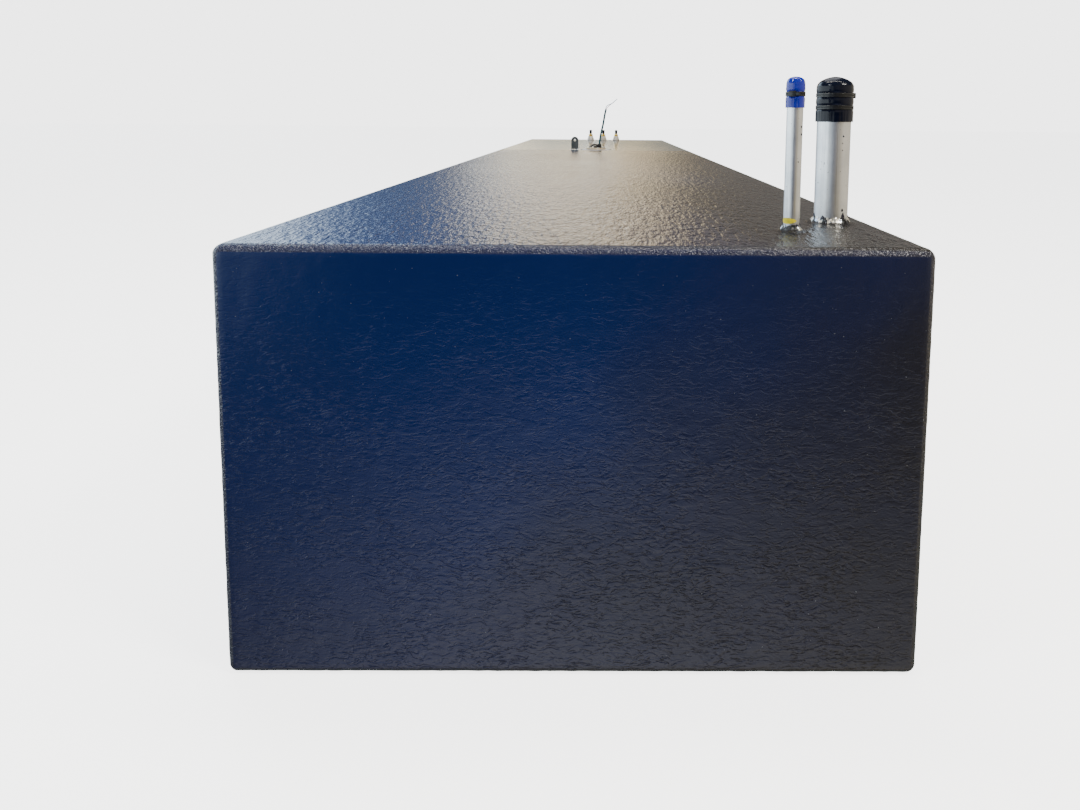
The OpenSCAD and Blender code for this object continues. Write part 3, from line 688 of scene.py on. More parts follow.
def relief(points, normals):
    """Real shape of the sprayed surface: slack panels, lumps, rope-like edges, ridge and skirts."""
    edge = 1 - np.abs(normals).max(axis=1)
    near = smooth_step(-points[:, 1], -(tank_low.y + 0.45), -(tank_low.y + 0.02))
    panel = smooth_step(edge, 0.03, 0.0)
    depth = SLACK * panel * (0.5 + 0.5 * field(points, 2.3, 1))
    depth += NEAR_RIPPLE * near * (0.5 + field(points, 95, 2))
    rope = field(points * np.array([1, 0.5, 1]), 150, 3)
    depth += smooth_step(edge, 0.0, 0.12) * (EDGE_DIP + EDGE_ROPE * rope)
    up = normals[:, 2] > 0.9
    flat = points[:, :2]

    def reach(axis):
        return np.hypot(flat[:, 0] - axis.x, flat[:, 1] - axis.y)

    ridge = RIDGE_HIGH * np.exp(-((flat[:, 1] - joint_y) / RIDGE_WIDE) ** 2)
    rise = np.where(up, ridge, 0)
    for node in ("fill_pipe_weld", "vent_pipe_weld", "outlet_bung_1", "outlet_bung_2", "outlet_bung_3"):
        away = np.clip(reach(middle(node)) - half_width(node) + SKIRT_IN, 0, None)
        skirt = SKIRT_HIGH * np.exp(-(away / SKIRT_WIDE) ** 2) * (0.75 + 0.5 * field(points, 140, 4))
        rise = rise + np.where(up, skirt, 0)
    moved = points - normals * (depth - rise)[:, None]
    bare = up & (reach(sender_axis) < BARE_R + TORN * field(points, 60, 5))
    moved[bare, 2] = metal_top - 0.15 * MM
    return moved


# How finely the coating is divided: the step across and up, and (until, step) along the tank
SECTION_STEP = 4.7 * MM
LENGTH_STEPS = [(tank_low.y + 0.24, 4.7 * MM), (tank_low.y + 0.6, 10 * MM), (0.0, 24 * MM),
                (joint_y - 0.03, 40 * MM), (joint_y, 2.6 * MM), (joint_y + 0.13, 3.2 * MM), (1.36, 60 * MM),
                (1.47, 5 * MM), (HALF[1], 8 * MM)]


def band(first, second, count):
    """Faces between two rings of points, given by where each ring starts."""
    return [(first + m, first + (m + 1) % count, second + (m + 1) % count, second + m) for m in range(count)]


def inner_rings(loop, front):
    """Plain inner wall, one coating thickness in, as rings at the joint, near the end and at the end."""
    flat, normals = on_box(np.column_stack([loop[:, 0], np.zeros(len(loop)), loop[:, 1]]))
    wall = flat - normals * (coat_t - 0.1 * MM)
    side = -1 if front else 1
    across_up, centre = [0, 2], MID[[0, 2]]
    shrink = 1 - (EDGE_R[1] * 0.6) / np.linalg.norm(wall[:, across_up] - centre, axis=1)
    cap = wall.copy()
    cap[:, across_up] = centre + (wall[:, across_up] - centre) * shrink[:, None]
    rings = []
    for ring, y in ((wall, joint_y), (wall, side * (HALF[1] - EDGE_R[1])), (cap, side * (HALF[1] - coat_t))):
        ring = ring.copy()
        ring[:, 1] = y
        rings.append(ring)
    return rings


def half_coating(name, front):
    """One half of the coating, from an end to the joint: outside skin, rim and plain inner wall."""
    xs, zs = (stops(axis, [(HALF[axis], SECTION_STEP)]) for axis in (0, 2))
    ys = stops(1, LENGTH_STEPS)
    split = int(np.argmin(np.abs(ys - joint_y)))
    ys = ys[:split + 1] if front else ys[split:]
    top = HALF[2]
    loop = np.array([(x, top) for x in xs[:-1]] + [(xs[-1], z) for z in zs[:0:-1]]
                    + [(x, -top) for x in xs[:0:-1]] + [(xs[0], z) for z in zs[:-1]])
    count, rows = len(loop), len(ys)
    end_y = -HALF[1] if front else HALF[1]
    sides = [np.column_stack([loop[:, 0], np.full(count, y), loop[:, 1]]) for y in ys]
    end = np.array([(x, end_y, z) for x in xs[1:-1] for z in zs[1:-1]])
    points, normals = on_box(np.concatenate([*sides, end]))
    points = relief(points, normals)
    faces = [face for k in range(rows - 1) for face in band(k * count, (k + 1) * count, count)]

    end_row, rim_row = (0, rows - 1) if front else (rows - 1, 0)
    on_loop = {(round(x, 7), round(z, 7)): end_row * count + m for m, (x, z) in enumerate(loop)}

    def end_index(i, j):
        inside = rows * count + (i - 1) * (len(zs) - 2) + (j - 1)
        return on_loop.get((round(xs[i], 7), round(zs[j], 7)), inside)

    faces += [(end_index(i, j), end_index(i + 1, j), end_index(i + 1, j + 1), end_index(i, j + 1))
              for i in range(len(xs) - 1) for j in range(len(zs) - 1)]

    start = len(points)
    points = np.concatenate([points, *inner_rings(loop, front)])
    faces += band(rim_row * count, start, count)
    faces += band(start, start + count, count) + band(start + count, start + 2 * count, count)
    faces.append(tuple(range(start + 2 * count, start + 3 * count)))

    bm = bmesh.new()
    made = [bm.verts.new(p) for p in points]
    for f in faces:
        bm.faces.new([made[i] for i in f])
    return finish_mesh(name, bm, COATING, math.radians(50))


def make_coating():
    halves = [half_coating("sprayed_coating_front", True), half_coating("sprayed_coating_rear", False)]
    for half in halves:
        settle(half, "tank", "sprayed_coating", "coating_skin", "coating_underside")


make_coating()


# ---- pipes, welds and tape

def make_pipe(name, node, wall):
    low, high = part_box(node)
    axis, r = middle(node), half_width(node)
    lip = 0.7 * MM
    outline = [(r - wall + lip, low.z), (r - lip, low.z), (r, low.z + lip), (r, low.z + 40 * MM),
               (r, high.z - lip), (r - lip, high.z), (r - wall + lip, high.z), (r - wall, high.z - lip),
               (r - wall, low.z + lip)]
    return settle(lathe(name, outline, axis, TUBE, 96), "tank", "satin_pipe", node)


def pipe_weld(name, node, pipe_r, seed):
    """Filler laid round a pipe: a flowed cone with shallow ripples and an uneven foot."""
    low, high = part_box(node)
    axis, foot = middle(node), half_width(node)
    tall = high.z - low.z
    leg = foot - pipe_r

    def rough(angle, r, z):
        if r < pipe_r + 0.1 * MM or z < low.z + 1 * MM:
            return r, z
        p = Vector((math.cos(angle) * 3, math.sin(angle) * 3, z * 200 + seed))
        lump = noise.noise(p) + 0.4 * noise.noise(p * 3.1)
        ripple = abs(math.sin(angle * 6 + seed + 1.5 * noise.noise(p * 0.7)))
        out = (0.7 * lump - 0.9 * ripple) * MM
        return min(max(r + out, pipe_r + 0.15 * MM), foot), min(z + 0.5 * lump * MM, high.z)

    slope = [(pipe_r + leg * (0.04 + 0.93 * t ** 1.25), high.z - 0.4 * MM - (tall - 2.0 * MM) * t)
             for t in np.linspace(0, 1, 12)]
    outline = [(pipe_r, low.z), (foot - 0.3 * MM, low.z), (foot - 0.3 * MM, low.z + 1.2 * MM), *slope[::-1],
               (pipe_r, high.z - 0.6 * MM)]
    return settle(lathe(name, outline, axis, WELD, 120, rough, math.radians(60)), "tank", "weld_metal", node)


def make_drips(name, axis, pipe_r, spots):
    """Runs and dabs of coating on a pipe: (angle in degrees, then height, half width, half height in mm)."""
    bm = bmesh.new()
    for angle, *sizes in spots:
        height, wide, tall = (size * MM for size in sizes)
        a = math.radians(angle)
        made = bmesh.ops.create_icosphere(bm, subdivisions=3, radius=1.0)["verts"]
        matrix = (Matrix.Translation((axis.x, axis.y, tank_top + height)) @ Matrix.Rotation(a, 4, "Z")
                  @ Matrix.Translation((pipe_r, 0, 0)) @ Matrix.Diagonal((0.9 * MM, wide, tall, 1)))
        for v in made:
            v.co = v.co * (1 + 0.30 * noise.noise(v.co * 2.2 + Vector((angle, 0, height * 900))))
            v.co.y *= 1.0 - 0.35 * v.co.z
        bmesh.ops.transform(bm, matrix=matrix, verts=made)
    return settle(finish_mesh(name, bm, COATING), "tank", "sprayed_coating")


def make_tape():
    """Lens-shaped strip of tape on the vent pipe's front left."""
    low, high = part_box("vent_tape")
    mid_z, tall = (low.z + high.z) / 2, (high.z - low.z) / 2
    mid, reach, columns, rows = math.radians(229), math.radians(63), 32, 8
    bm = bmesh.new()
    skins = []
    for r in (vent_r + 0.02 * MM, vent_r + 0.38 * MM):
        grid = []
        for i in range(columns + 1):
            s = -1 + 2 * i / columns
            lens = max(0.0, 1 - s * s) ** 0.7 * (1 - 0.15 * s) * tall * 0.95 + 0.15 * MM
            a = mid + reach * s
            x, y = vent_axis.x + r * math.cos(a), vent_axis.y + r * math.sin(a)
            grid.append([bm.verts.new((x, y, mid_z + lens * (-1 + 2 * j / rows) + 0.3 * MM * s))
                         for j in range(rows + 1)])
        skins.append(grid)
    inner, outer = skins
    for grid in skins:
        for i in range(columns):
            for j in range(rows):
                bm.faces.new((grid[i][j], grid[i + 1][j], grid[i + 1][j + 1], grid[i][j + 1]))
    for i in range(columns):
        for j in (0, rows):
            bm.faces.new((inner[i][j], inner[i + 1][j], outer[i + 1][j], outer[i][j]))
    for j in range(rows):
        for i in (0, columns):
            bm.faces.new((inner[i][j], inner[i][j + 1], outer[i][j + 1], outer[i][j]))
    settle(finish_mesh("yellow_tape_strip", bm, TAPE), "tank", "yellow_tape", "vent_tape")


def make_pipes():
    make_pipe("fill_tube", "fill_pipe", wall=3.2 * MM)
    make_pipe("vent_tube", "vent_pipe", wall=2.3 * MM)
    pipe_weld("fill_tube_weld", "fill_pipe_weld", fill_r, 3)
    pipe_weld("vent_tube_weld", "vent_pipe_weld", vent_r, 8)
    make_tape()
    make_drips("fill_tube_drips", fill_axis, fill_r, [
        (-62, 8, 2.4, 5.0), (-66, 16, 1.1, 1.8), (-20, 6, 3.4, 3.0), (-134, 6, 2.4, 3.2), (-100, 4, 3.0, 1.6),
        (-72, 101, 0.9, 1.0), (-75, 93, 0.5, 0.6), (-74, 85, 0.5, 0.6), (40, 7, 3, 3), (120, 6, 4, 2.4),
        (180, 7, 2.4, 3.4)])
    make_drips("vent_tube_drips", vent_axis, vent_r, [
        (-60, 6.5, 2.0, 2.0), (-25, 6, 1.6, 2.6), (-48, 112, 0.5, 1.0), (-46, 104, 0.4, 1.2),
        (60, 6, 2.2, 2.4), (170, 6, 2, 2)])



make_pipes()


# ---- caps and cable ties

def dome(r, low, high, crown, fullness, steps):
    """Outside of a soft cap from its rim to its middle; a fuller crown is squarer."""
    up = high - crown
    side = [(r, low), (r, low + (up - low) * 0.06)]
    side += [(r, low + (up - low) * t) for t in np.linspace(0.12, 1.0, 31)]
    side += [(r * math.cos(t) ** (2 / fullness), up + crown * math.sin(t) ** (2 / fullness))
             for t in np.linspace(0, math.pi / 2, steps + 1)[1:-1]]
    return side + [(0, high)]


def make_cap(name, node, slot, material, pipe_node, tie_nodes, wall, crown, fullness, flute):
    """Push-on vinyl cap over a pipe's end, drawn in by its ties; the crown is how tall its dome is."""
    low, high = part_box(node)
    axis, r = middle(node), half_width(node)
    pipe_r = half_width(pipe_node)
    pipe_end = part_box(pipe_node)[1].z
    waists = [middle(t).z for t in tie_nodes]

    def squeeze(angle, rr, z):
        """Pinched in under each tie, swollen between them and fluted towards the rim."""
        if rr < pipe_r + 0.5 * MM:
            return rr, z
        pinch = sum(math.exp(-((z - w) / (3.0 * MM)) ** 2) for w in waists)
        swell = sum(math.exp(-((z - w - side * 5.2 * MM) / (2.4 * MM)) ** 2)
                    for w in waists for side in (-1, 1))
        fold = max(0.0, min(1.0, (waists[-1] - z) / (6 * MM)))
        wave = noise.noise(Vector((math.cos(angle) * flute, math.sin(angle) * flute, z * 18)))
        body_wave = noise.noise(Vector((math.cos(angle) * 2, math.sin(angle) * 2, z * 60)))
        dr = (-0.95 * pinch + 0.25 * swell - 0.30 + 0.85 * fold * wave + 0.16 * body_wave) * MM
        rr = min(rr + dr, r)
        return max(rr, pipe_r + 0.35 * MM) if z < pipe_end else rr, z

    outside = dome(r, low.z, high.z, crown, fullness, 18)
    inside_r = pipe_r + 0.1 * MM
    top_t = 3 * MM
    inside = [(x, z) for x, z in dome(inside_r, low.z, high.z - top_t, crown - wall, fullness, 10)]
    cap = lathe(name, outside + inside[::-1], axis, material, 120, squeeze, math.radians(50))
    return settle(cap, node, slot, node)


TIE_WIDE, TIE_THICK, RIB_STEP = 4.6 * MM, 1.15 * MM, 1.15 * MM


def make_tie(name, node, body, turn, head):
    """Cable tie: ribbed band, ratchet head (wide, tall, deep) with its window, and a cut tail."""
    cap_r = half_width(body)
    centre = Vector((*(fill_axis if body == "fill_cap" else vent_axis).xy, middle(node).z))
    wide, thick = TIE_WIDE, TIE_THICK
    inner = cap_r - 1.0 * MM
    outer, ease, dip = inner + thick, 0.3 * MM, 0.25 * MM
    outline = [(inner, -wide / 2), (outer - ease, -wide / 2), (outer, -wide / 2 + ease), (outer, -wide / 6),
               (outer - dip, -wide / 8), (outer - dip, wide / 8), (outer, wide / 6), (outer, wide / 2 - ease),
               (outer - ease, wide / 2), (inner, wide / 2)]
    band = take_mesh(lathe(name + "_band", outline, (0, 0, 0), NYLON, 96))
    rib_mesh = bmesh.new()
    half_rib = Vector((0.16 * MM, 0.16 * MM, wide / 7))
    add_block(rib_mesh, -half_rib, half_rib, 0.06 * MM, segments=1)
    rib = finish_mesh(name + "_rib", rib_mesh, NYLON)
    ribs = ring_of(name + "_ribs", rib, int(TAU * cap_r / RIB_STEP), outer - 0.22 * MM, (0, 0, 0), NYLON)
    bm = bmesh.new()
    size, tall, deep = head
    out = cap_r + deep
    add_block(bm, (cap_r - 1.0 * MM, -size / 2, -tall / 2), (out, size / 2, tall / 2), 0.6 * MM)
    add_block(bm, (out - 0.5 * MM, -size / 4, -tall / 4), (out + 0.25 * MM, size / 4, tall / 4), 0.2 * MM)
    add_block(bm, (out - 2.4 * MM, size / 2 - 1 * MM, -wide / 2 + 0.3 * MM),
              (out - 1.2 * MM, size / 2 + 4.6 * MM, wide / 2 - 0.3 * MM), 0.25 * MM)
    add_block(bm, (cap_r - 0.1 * MM, size / 2 - 0.6 * MM, -wide / 2 + 0.2 * MM),
              (out - 0.8 * MM, size / 2 + 0.9 * MM, wide / 2 - 0.2 * MM), 0.4 * MM)
    head_mesh = take_mesh(finish_mesh(name + "_head", bm, NYLON))
    tie = join_meshes(name, [band, ribs, head_mesh], NYLON)
    tie.data.transform(Matrix.Translation(centre) @ Matrix.Rotation(math.radians(turn), 4, "Z"))
    return settle(tie, body, "black_nylon", node)


def make_caps():
    make_cap("black_pipe_cap", "fill_cap", "black_vinyl", BLACK_VINYL, "fill_pipe",
             ["fill_tie_upper", "fill_tie_lower"], wall=2 * MM, crown=11.5 * MM, fullness=1.75, flute=10)
    make_cap("blue_pipe_cap", "vent_cap", "blue_vinyl", BLUE_VINYL, "vent_pipe",
             ["vent_tie"], wall=1.6 * MM, crown=8.2 * MM, fullness=2.25, flute=3)
    fill_head, vent_head = (8.5 * MM, 6.4 * MM, 3.6 * MM), (6.5 * MM, 6.4 * MM, 3.4 * MM)
    make_tie("upper_fill_tie", "fill_tie_upper", "fill_cap", 12, fill_head)
    make_tie("lower_fill_tie", "fill_tie_lower", "fill_cap", 100, fill_head)
    make_tie("vent_cap_tie", "vent_tie", "vent_cap", 240, vent_head)



make_caps()


# ---- bonding lug

LUG_HOLE_R = 4 * MM
WELD_BEADS = 9


def make_lug():
    """Flat upright bar with a round head and a hole, its edges eased."""
    low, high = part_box("bonding_lug")
    axis, r = middle("bonding_lug"), half_width("bonding_lug")
    hole_r, hole_z, steps = LUG_HOLE_R, high.z - r, 48
    outer, inner = [], []
    for k in range(steps):
        a = TAU * k / steps + TAU / (2 * steps)
        x, z = math.cos(a), math.sin(a)
        if z >= 0:
            outer.append((r * x, hole_z + r * z))
        else:
            drop = min((hole_z - low.z) / -z, r / max(abs(x), 1e-9))
            outer.append((drop * x, hole_z + drop * z))
        inner.append((hole_r * x, hole_z + hole_r * z))
    bm = bmesh.new()
    sides = []
    for y in (low.y, high.y):
        rings = [[bm.verts.new((axis.x + x, y, z)) for x, z in ring] for ring in (outer, inner)]
        for k in range(steps):
            bm.faces.new((rings[0][k], rings[0][(k + 1) % steps], rings[1][(k + 1) % steps], rings[1][k]))
        sides.append(rings)
    for ring in (0, 1):
        for k in range(steps):
            bm.faces.new((sides[0][ring][k], sides[0][ring][(k + 1) % steps],
                          sides[1][ring][(k + 1) % steps], sides[1][ring][k]))
    bmesh.ops.recalc_face_normals(bm, faces=bm.faces)
    sharp = [e for e in bm.edges if e.calc_face_angle(0) > math.radians(60)]
    bmesh.ops.bevel(bm, geom=sharp, offset=0.5 * MM, segments=2, affect="EDGES")
    settle(finish_mesh("upright_lug", bm, LUG), "tank", "lug_aluminium", "bonding_lug")
    make_lug_weld()


def make_lug_weld():
    """A row of overlapping beads along both faces of the lug."""
    low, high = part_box("bonding_lug_weld")
    lug_low, lug_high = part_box("bonding_lug")
    bm = bmesh.new()
    for y, out in ((lug_low.y, -1), (lug_high.y, 1)):
        for k in range(WELD_BEADS):
            x = low.x + (high.x - low.x) * (k + 0.5) / WELD_BEADS
            uneven = noise.noise(Vector((k * 1.7, out * 2.0, 0.5)))
            made = bmesh.ops.create_icosphere(bm, subdivisions=2, radius=1.0)["verts"]
            matrix = (Matrix.Translation((x, y + out * 1.2 * MM, low.z + 2.2 * MM))
                      @ Matrix.Diagonal(((2.5 + uneven * 0.6) * MM, (2.7 + uneven * 0.5) * MM, 2.9 * MM, 1)))
            bmesh.ops.transform(bm, matrix=matrix, verts=made)
    settle(finish_mesh("lug_weld_beads", bm, WELD), "tank", "weld_metal", "bonding_lug_weld")


make_lug()


# ---- level sender

RING_HOLE_R, STEM_R = 21 * MM, 6.35 * MM
PATCH_HOLE_R, PATCH_DOWN, PATCH_UP = 22 * MM, 0.6 * MM, 0.15 * MM
SCREWS, SCREW_CIRCLE_R, SCREW_HEAD_R, SCREW_SHANK_R = 5, 27 * MM, 4.2 * MM, 2.5 * MM
JUMPER_R, JUMPER_UP = 3.25 * MM, 10 * MM


def plate_outline(r, hole, low, high, ease):
    return [(hole, low), (r - ease, low), (r, low + ease), (r, high - ease), (r - ease, high),
            (hole + ease, high), (hole, high - ease)]


def make_bare_patch():
    """Sheet left bare round the sender, with the torn edge of the masked coating."""
    def torn(angle, r, z):
        wave = noise.noise(Vector((math.cos(angle) * 4, math.sin(angle) * 4, 1.5)))
        return (r + 1.4 * MM * wave if r > BARE_R - 3 * MM else r), z

    foot, top, edge = metal_top - PATCH_DOWN, metal_top + PATCH_UP, BARE_R + 0.5 * MM
    outline = [(PATCH_HOLE_R, foot), (edge, foot), (edge, top), (PATCH_HOLE_R, top)]
    settle(lathe("bare_sheet_patch", outline, sender_axis, RING, 96, torn), "tank", "sheet_aluminium")


def make_sender():
    make_bare_patch()
    for name, node, material, slot, hole, ease in (
            ("mounting_ring", "sender_ring", RING, "ring_aluminium", RING_HOLE_R, 0.6 * MM),
            ("cork_gasket", "sender_gasket", CORK, "gasket_cork", RING_HOLE_R, 0.3 * MM),
            ("sender_flange_plate", "sender_flange", PLATED, "plated_flange", STEM_R, 0.5 * MM)):
        low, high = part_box(node)
        outline = plate_outline(half_width(node), hole, low.z, high.z, ease)
        settle(lathe(name, outline, sender_axis, material, 96), "tank", slot, node)
    make_screws()
    make_head()
    make_jumper()


def make_screws():
    """Pan-head screws with a cross recess, around the flange."""
    low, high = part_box("sender_screws")
    head_r, head_h, shank_r = SCREW_HEAD_R, high.z - flange_top, SCREW_SHANK_R
    outline = [(0, low.z), (shank_r - 0.4 * MM, low.z), (shank_r, low.z + 0.5 * MM), (shank_r, flange_top),
               (head_r, flange_top), (head_r, flange_top + head_h * 0.35)]
    outline += [(head_r * math.cos(t), flange_top + head_h * (0.35 + 0.65 * math.sin(t)))
                for t in (0.3, 0.6, 0.9, 1.2)] + [(0, high.z)]
    bm = bmesh.new()
    add_lathe(bm, outline, 28, (0, 0, 0))
    for turn in (0, 90):
        turned = Matrix.Rotation(math.radians(turn + 20), 4, "Z")
        add_block(bm, (-head_r * 0.5, -0.35 * MM, high.z - 0.5 * MM),
                  (head_r * 0.5, 0.35 * MM, high.z + 0.02 * MM), 0.1 * MM, turned, 1)
    screw = finish_mesh("flange_screw", bm, SCREW)
    centre = Vector((sender_axis.x, sender_axis.y, 0))
    mesh = ring_of("flange_screw_ring", screw, SCREWS, SCREW_CIRCLE_R, centre, SCREW)
    settle(join_meshes("flange_screws", [mesh], SCREW), "tank", "plated_screws", "sender_screws")


def make_head():
    """Connector head: low round hub, bridge and a square tower with a rubber collar for the lead."""
    low, high = head_low, head_high
    hub_top = low.z + (high.z - low.z) * 0.45
    bm = bmesh.new()
    hub_r = STEM_R + 3 * MM
    hub = [(0, low.z), (hub_r, low.z), (hub_r, hub_top - 1 * MM), (hub_r - 1 * MM, hub_top), (0, hub_top)]
    add_lathe(bm, hub, 48, sender_axis)
    add_block(bm, (sender_axis.x, sender_axis.y - head_half, low.z),
              (high.x - head_half, sender_axis.y + head_half, hub_top), 0.8 * MM)
    add_block(bm, (high.x - 2 * head_half, sender_axis.y - head_half, low.z),
              (high.x, sender_axis.y + head_half, high.z - 1.2 * MM), 1.2 * MM)
    add_lathe(bm, [(0, high.z - 3 * MM), (5.4 * MM, high.z - 3 * MM), (5.2 * MM, high.z - 1 * MM),
                   (4.6 * MM, high.z), (0, high.z)], 32, lead_exit)
    settle(finish_mesh("connector_head", bm, MOULDING), "tank", "black_moulding", "sender_head")


def make_jumper():
    """Short black wire from the head down to its boot on the flange."""
    low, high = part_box("sender_jumper")
    start = Vector((high.x, sender_axis.y, flange_top + JUMPER_UP))
    bm = bmesh.new()
    sweep(bm, wire_path(start, JUMPER_ROUTE, 0, 4), JUMPER_R, 18)
    add_block(bm, (low.x, sender_axis.y - 4 * MM, flange_top), (low.x + 8 * MM, sender_axis.y + 4 * MM,
              flange_top + 5 * MM), 1.1 * MM)
    jumper = finish_mesh("black_jumper", bm, MOULDING, math.radians(60))
    settle(jumper, "tank", "black_moulding", "sender_jumper")


make_sender()


# ---- outlets

THREAD_R, NECK_R, THREAD_ROOT_R = 8.5 * MM, 11.5 * MM, 8.2 * MM
HEX_R, HEX_H, HEX_CHAMFER = 10 * MM, 9 * MM, 0.8 * MM
BARB_R, BARB_BORE_R, BARB_DEEP, BARBS = 5.2 * MM, 3.2 * MM, 0.7 * MM, 3


def make_bung(i):
    """Domed weld-in bung, with filler lumped round its foot."""
    node = f"outlet_bung_{i}"
    low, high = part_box(node)
    foot = half_width(node)

    def filler(angle, r, z):
        if z < low.z + 1 * MM or z > low.z + 12 * MM or r < THREAD_R + 1 * MM:
            return r, z
        lump = noise.noise(Vector((math.cos(angle) * 6, math.sin(angle) * 6, z * 260 + i * 9)))
        return min(r + lump * 1.1 * MM, foot), z

    dome_side = [(foot - inward * MM, low.z + up * MM) for inward, up in (
        (0.5, 0), (0, 2.5), (0, 6), (0.5, 9), (1.5, 12), (2.9, 15.5))]
    neck = [(NECK_R + outward * MM, high.z - down * MM)
            for outward, down in ((0.8, 3.5), (0, 1.5), (-1.3, 0))]
    outline = [(THREAD_R, low.z), *dome_side, *neck, (THREAD_R, high.z)]
    bung = lathe(f"weld_bung_{i}", outline, middle(node), BUNG, 64, filler)
    settle(bung, "tank", "bung_aluminium", node)


def make_barb(i):
    """Brass fitting: threaded shank, hexagon and a barbed spigot, bored through."""
    node = f"barb_fitting_{i}"
    low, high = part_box(node)
    axis = middle(f"outlet_bung_{i}")
    hex_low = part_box(f"outlet_bung_{i}")[1].z
    hex_high = hex_low + HEX_H
    first = hex_high + 3 * MM
    step = (high.z - first) / BARBS
    waist = BARB_R - BARB_DEEP
    outline = [(BARB_BORE_R, low.z), (THREAD_ROOT_R, low.z), (THREAD_R, low.z + 0.5 * MM), (THREAD_R, hex_low),
               (7.4 * MM, hex_low), (7.4 * MM, hex_high), (waist, hex_high), (waist, first)]
    for k in range(BARBS):
        z = first + k * step
        outline += [(BARB_R - 0.15 * MM, z), (BARB_R, z + 1 * MM), (waist, z + step)]
    outline += [(BARB_BORE_R, high.z)]
    bm = bmesh.new()
    add_lathe(bm, outline, 40, axis)
    add_lathe(bm, [(0, hex_low), (HEX_R * 0.93, hex_low), (HEX_R, hex_low + HEX_CHAMFER),
                   (HEX_R, hex_high - HEX_CHAMFER), (HEX_R * 0.93, hex_high), (0, hex_high)], 6, axis)
    settle(finish_mesh(f"brass_barb_{i}", bm, BRASS, math.radians(25)), "tank", "fitting_brass", node)


def make_barb_cap(i):
    """Soft black cap pushed over the barbs, with a bead round its rim and a rounded end."""
    node = f"outlet_cap_{i}"
    low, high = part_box(node)
    r, inside, corner = half_width(node), BARB_R + 0.06 * MM, 2.6 * MM
    wall = r - 0.25 * MM
    outline = [(inside, low.z), (r - 0.3 * MM, low.z), (r, low.z + 0.4 * MM), (r, low.z + 1.6 * MM),
               (wall, low.z + 2.2 * MM), (wall, high.z - 3 * MM)]
    outline += arc(wall - corner, high.z - corner, corner, 0, 84, 6)[1:]
    outline += [(0, high.z), (0, high.z - 1.8 * MM), (inside, high.z - 1.8 * MM)]
    cap = lathe(f"black_barb_cap_{i}", outline, middle(f"outlet_bung_{i}"), BLACK_VINYL, 48)
    settle(cap, node, "black_vinyl", node)


for number in (1, 2, 3):
    make_bung(number)
    make_barb(number)
    make_barb_cap(number)


# ---- finishes of the pieces that stay as they are

STAYING = {
    SHEET: ["bottom_pan", "top_cover_front", "top_cover_rear", "front_end", "rear_end", "joint_strip",
            *(f"baffle_{i}" for i in range(1, 6))],
    STAINLESS: ["sender_stem", "sender_stop_upper", "sender_stop_lower"],
    TUBE: [f"dip_tube_{i}" for i in (1, 2, 3)],
    FOAM: ["sender_float"],
}
for material, names in STAYING.items():
    for name in names:
        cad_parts[name].data.materials.clear()
        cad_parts[name].data.materials.append(material)


# ---- floor, lights and surroundings

def make_floor():
    bm = bmesh.new()
    bmesh.ops.create_grid(bm, x_segments=8, y_segments=8, size=30)
    floor = finish_mesh("floor", bm, floor_finish())
    floor.visible_glossy = False
    floor.visible_diffuse = False


# Lamp, place, aim, size, watts and colour
LIGHTS = [
    ("strip", (0.1, -1.0, 3.0), (0, -1.5, 0.4), (2.6, 0.16), 50, (1.0, 0.96, 0.86)),
    ("key", (-1.8, -2.4, 2.6), (0, -1.2, 0.4), (0.6, 0.6), 30, (0.90, 0.96, 1.0)),
    ("lamp", (1.3, -2.4, 2.2), (0.3, -1.5, 0.5), (0.28, 0.28), 24, (1.0, 0.97, 0.90)),
    ("lamp_beside", (1.7, -2.2, 2.2), (0.3, -1.5, 0.5), (0.28, 0.28), 24, (1.0, 0.97, 0.90)),
    ("overhead", (0.4, 1.2, 3.6), (0, 0.6, 0.4), (2.0, 3.0), 30, (0.97, 0.98, 1.0))]


def make_lights():
    for name, place, aim, size, watts, colour in LIGHTS:
        data = bpy.data.lights.new(name, "AREA")
        data.shape = "RECTANGLE"
        data.size, data.size_y = size
        data.energy = watts
        data.color = colour
        lamp = bpy.data.objects.new(name, data)
        bpy.context.scene.collection.objects.link(lamp)
        lamp.location = place
        lamp.rotation_euler = (Vector(aim) - Vector(place)).to_track_quat("-Z", "Y").to_euler()
        lamp.visible_camera = False


# What the coating reflects. Beyond the far end: colour from left to right, and how bright it is going up
FAR_END = [
    (-0.60, (0.62, 0.74, 0.86)), (-0.50, (0.95, 1.15, 1.35)), (-0.42, (0.19, 0.26, 0.38)),
    (-0.33, (0.035, 0.06, 0.11)), (-0.23, (0.055, 0.08, 0.12)), (-0.17, (0.46, 0.43, 0.36)),
    (-0.13, (1.02, 0.92, 0.70)), (-0.04, (1.12, 0.93, 0.62)), (0.04, (1.05, 0.82, 0.48)),
    (0.085, (0.48, 0.39, 0.26)), (0.125, (0.15, 0.125, 0.105)), (0.60, (0.18, 0.165, 0.15))]
FAR_LEVEL = [(height, (level, level, level)) for height, level in (
    (-0.20, 0.10), (0.0, 0.30), (0.05, 0.75), (0.10, 1.0), (0.20, 1.0), (0.30, 0.45), (0.42, 0.08),
    (1.0, 0.05))]
# Before the near end: colour from straight down to straight up
NEAR_END = [
    (-1.0, (0.03, 0.03, 0.03)), (-0.84, (0.24, 0.23, 0.22)), (-0.68, (0.74, 0.74, 0.82)),
    (-0.54, (0.40, 0.44, 0.64)), (-0.43, (0.20, 0.23, 0.38)), (-0.34, (0.06, 0.08, 0.15)),
    (-0.26, (0.012, 0.018, 0.04)), (-0.15, (0.002, 0.003, 0.008)), (0.0, (0.01, 0.012, 0.02)),
    (0.10, (0.17, 0.17, 0.18)), (0.28, (0.30, 0.28, 0.25)), (0.50, (0.10, 0.09, 0.075)),
    (1.0, (0.04, 0.04, 0.04))]
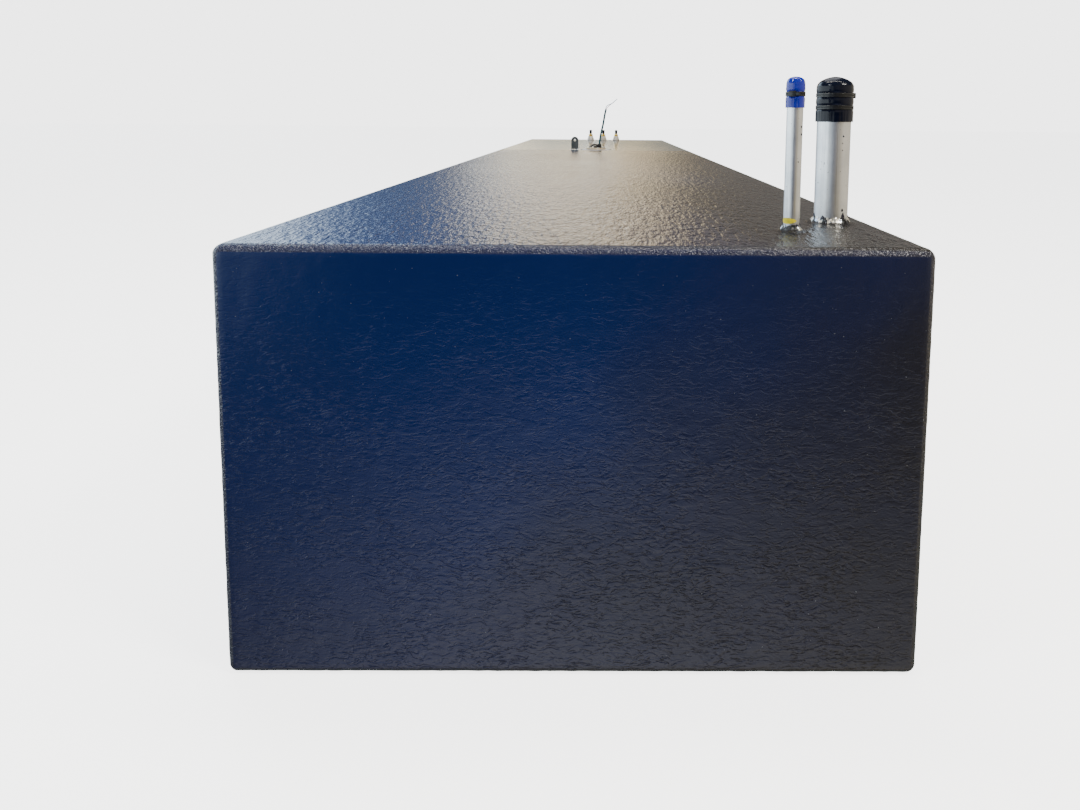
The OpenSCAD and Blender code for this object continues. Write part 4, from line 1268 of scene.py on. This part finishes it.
# Soft lamps beyond the far end: how far across and up, half width and half height
SOFT_LAMPS = [(-0.153, 0.106, 0.030, 0.016), (-0.008, 0.104, 0.026, 0.014), (-0.011, 0.076, 0.030, 0.013),
              (-0.175, 0.062, 0.026, 0.012)]
SOFT_LAMP = rgb(1.25, 1.45, 1.55)
DULL_WARM, DULL_COLD = rgb(0.19, 0.22, 0.21), rgb(0.095, 0.115, 0.115)
DARK_CORNER, BROWN_CORNER = rgb(0.01, 0.015, 0.04), rgb(0.16, 0.11, 0.01)
SKYLIGHT, WINDOW, WALL = rgb(1.50, 1.85, 2.20), rgb(1.10, 1.25, 1.32), rgb(0.36, 0.32, 0.25)
ROOM_STRENGTH, BACKDROP_STRENGTH = 2.5, 3.8


def make_surroundings():
    """White to the eye; to the object a room with a bright warm far end and a window on the left."""
    world = bpy.data.worlds.new("studio")
    bpy.context.scene.world = world
    world.use_nodes = True
    n = Nodes(world.node_tree)
    split = n.add("ShaderNodeSeparateXYZ", {0: n.add("ShaderNodeTexCoord").outputs["Generated"]})
    x, y, z = split.outputs
    ahead_y = n.math("MAXIMUM", y, 0.05)
    sideways = n.math("DIVIDE", x, ahead_y)
    upwards = n.math("DIVIDE", z, ahead_y)

    level = n.ramp(upwards, -0.2, 1.0, FAR_LEVEL)
    far_end = n.vector("MULTIPLY", n.ramp(sideways, -0.6, 0.6, FAR_END), level)
    near_end = n.ramp(z, -1.0, 1.0, NEAR_END)
    near_end = n.mix(n.spread(x, -0.08, -0.48, 0.0, 0.8), near_end, DARK_CORNER)
    near_end = n.mix(n.spread(x, 0.0, 0.34, 0.0, 0.45), near_end, BROWN_CORNER)
    # low over the far edge it is a dull teal grey, and soft lamps hang in the warm part
    low_down = n.times(n.spread(upwards, 0.056, 0.047), n.spread(sideways, -0.12, -0.07, 0.3, 1.0))
    dull = n.mix(n.spread(sideways, 0.0, 0.035), DULL_WARM, DULL_COLD)
    far_end = n.mix(low_down, far_end, dull)
    for middle_x, middle_z, wide, tall in SOFT_LAMPS:
        over = n.math("DIVIDE", n.math("SUBTRACT", sideways, middle_x), wide)
        above = n.math("DIVIDE", n.math("SUBTRACT", upwards, middle_z), tall)
        away = n.plus(n.times(over, over), n.times(above, above))
        far_end = n.mix(n.spread(away, 1.6, 0.0, 0.0, 0.6), far_end, SOFT_LAMP)
    high = n.times(n.spread(upwards, 0.27, 0.38), n.spread(upwards, 1.1, 0.7))
    high_left = n.times(n.spread(sideways, -0.26, -0.50), high)
    far_end = n.mix(high_left, far_end, SKYLIGHT)
    room = n.mix(n.spread(y, -0.12, 0.12), near_end, far_end)
    window = n.times(n.spread(x, -0.36, -0.86), n.spread(n.math("ABSOLUTE", z), 0.32, 0.16))
    room = n.mix(window, room, WINDOW)
    wall = n.times(n.spread(x, 0.35, 0.80), n.spread(n.math("ABSOLUTE", z), 0.5, 0.2))
    room = n.mix(wall, room, WALL)
    eye = n.add("ShaderNodeLightPath").outputs["Is Camera Ray"]
    shown = n.add("ShaderNodeBackground", {"Color": rgb(1, 1, 1), "Strength": BACKDROP_STRENGTH}).outputs[0]
    lit = n.add("ShaderNodeBackground", {"Color": room, "Strength": ROOM_STRENGTH}).outputs[0]
    both = n.add("ShaderNodeMixShader", {0: eye, 1: lit, 2: shown}).outputs[0]
    n.add("ShaderNodeOutputWorld", {"Surface": both})


make_floor()
make_surroundings()
make_lights()
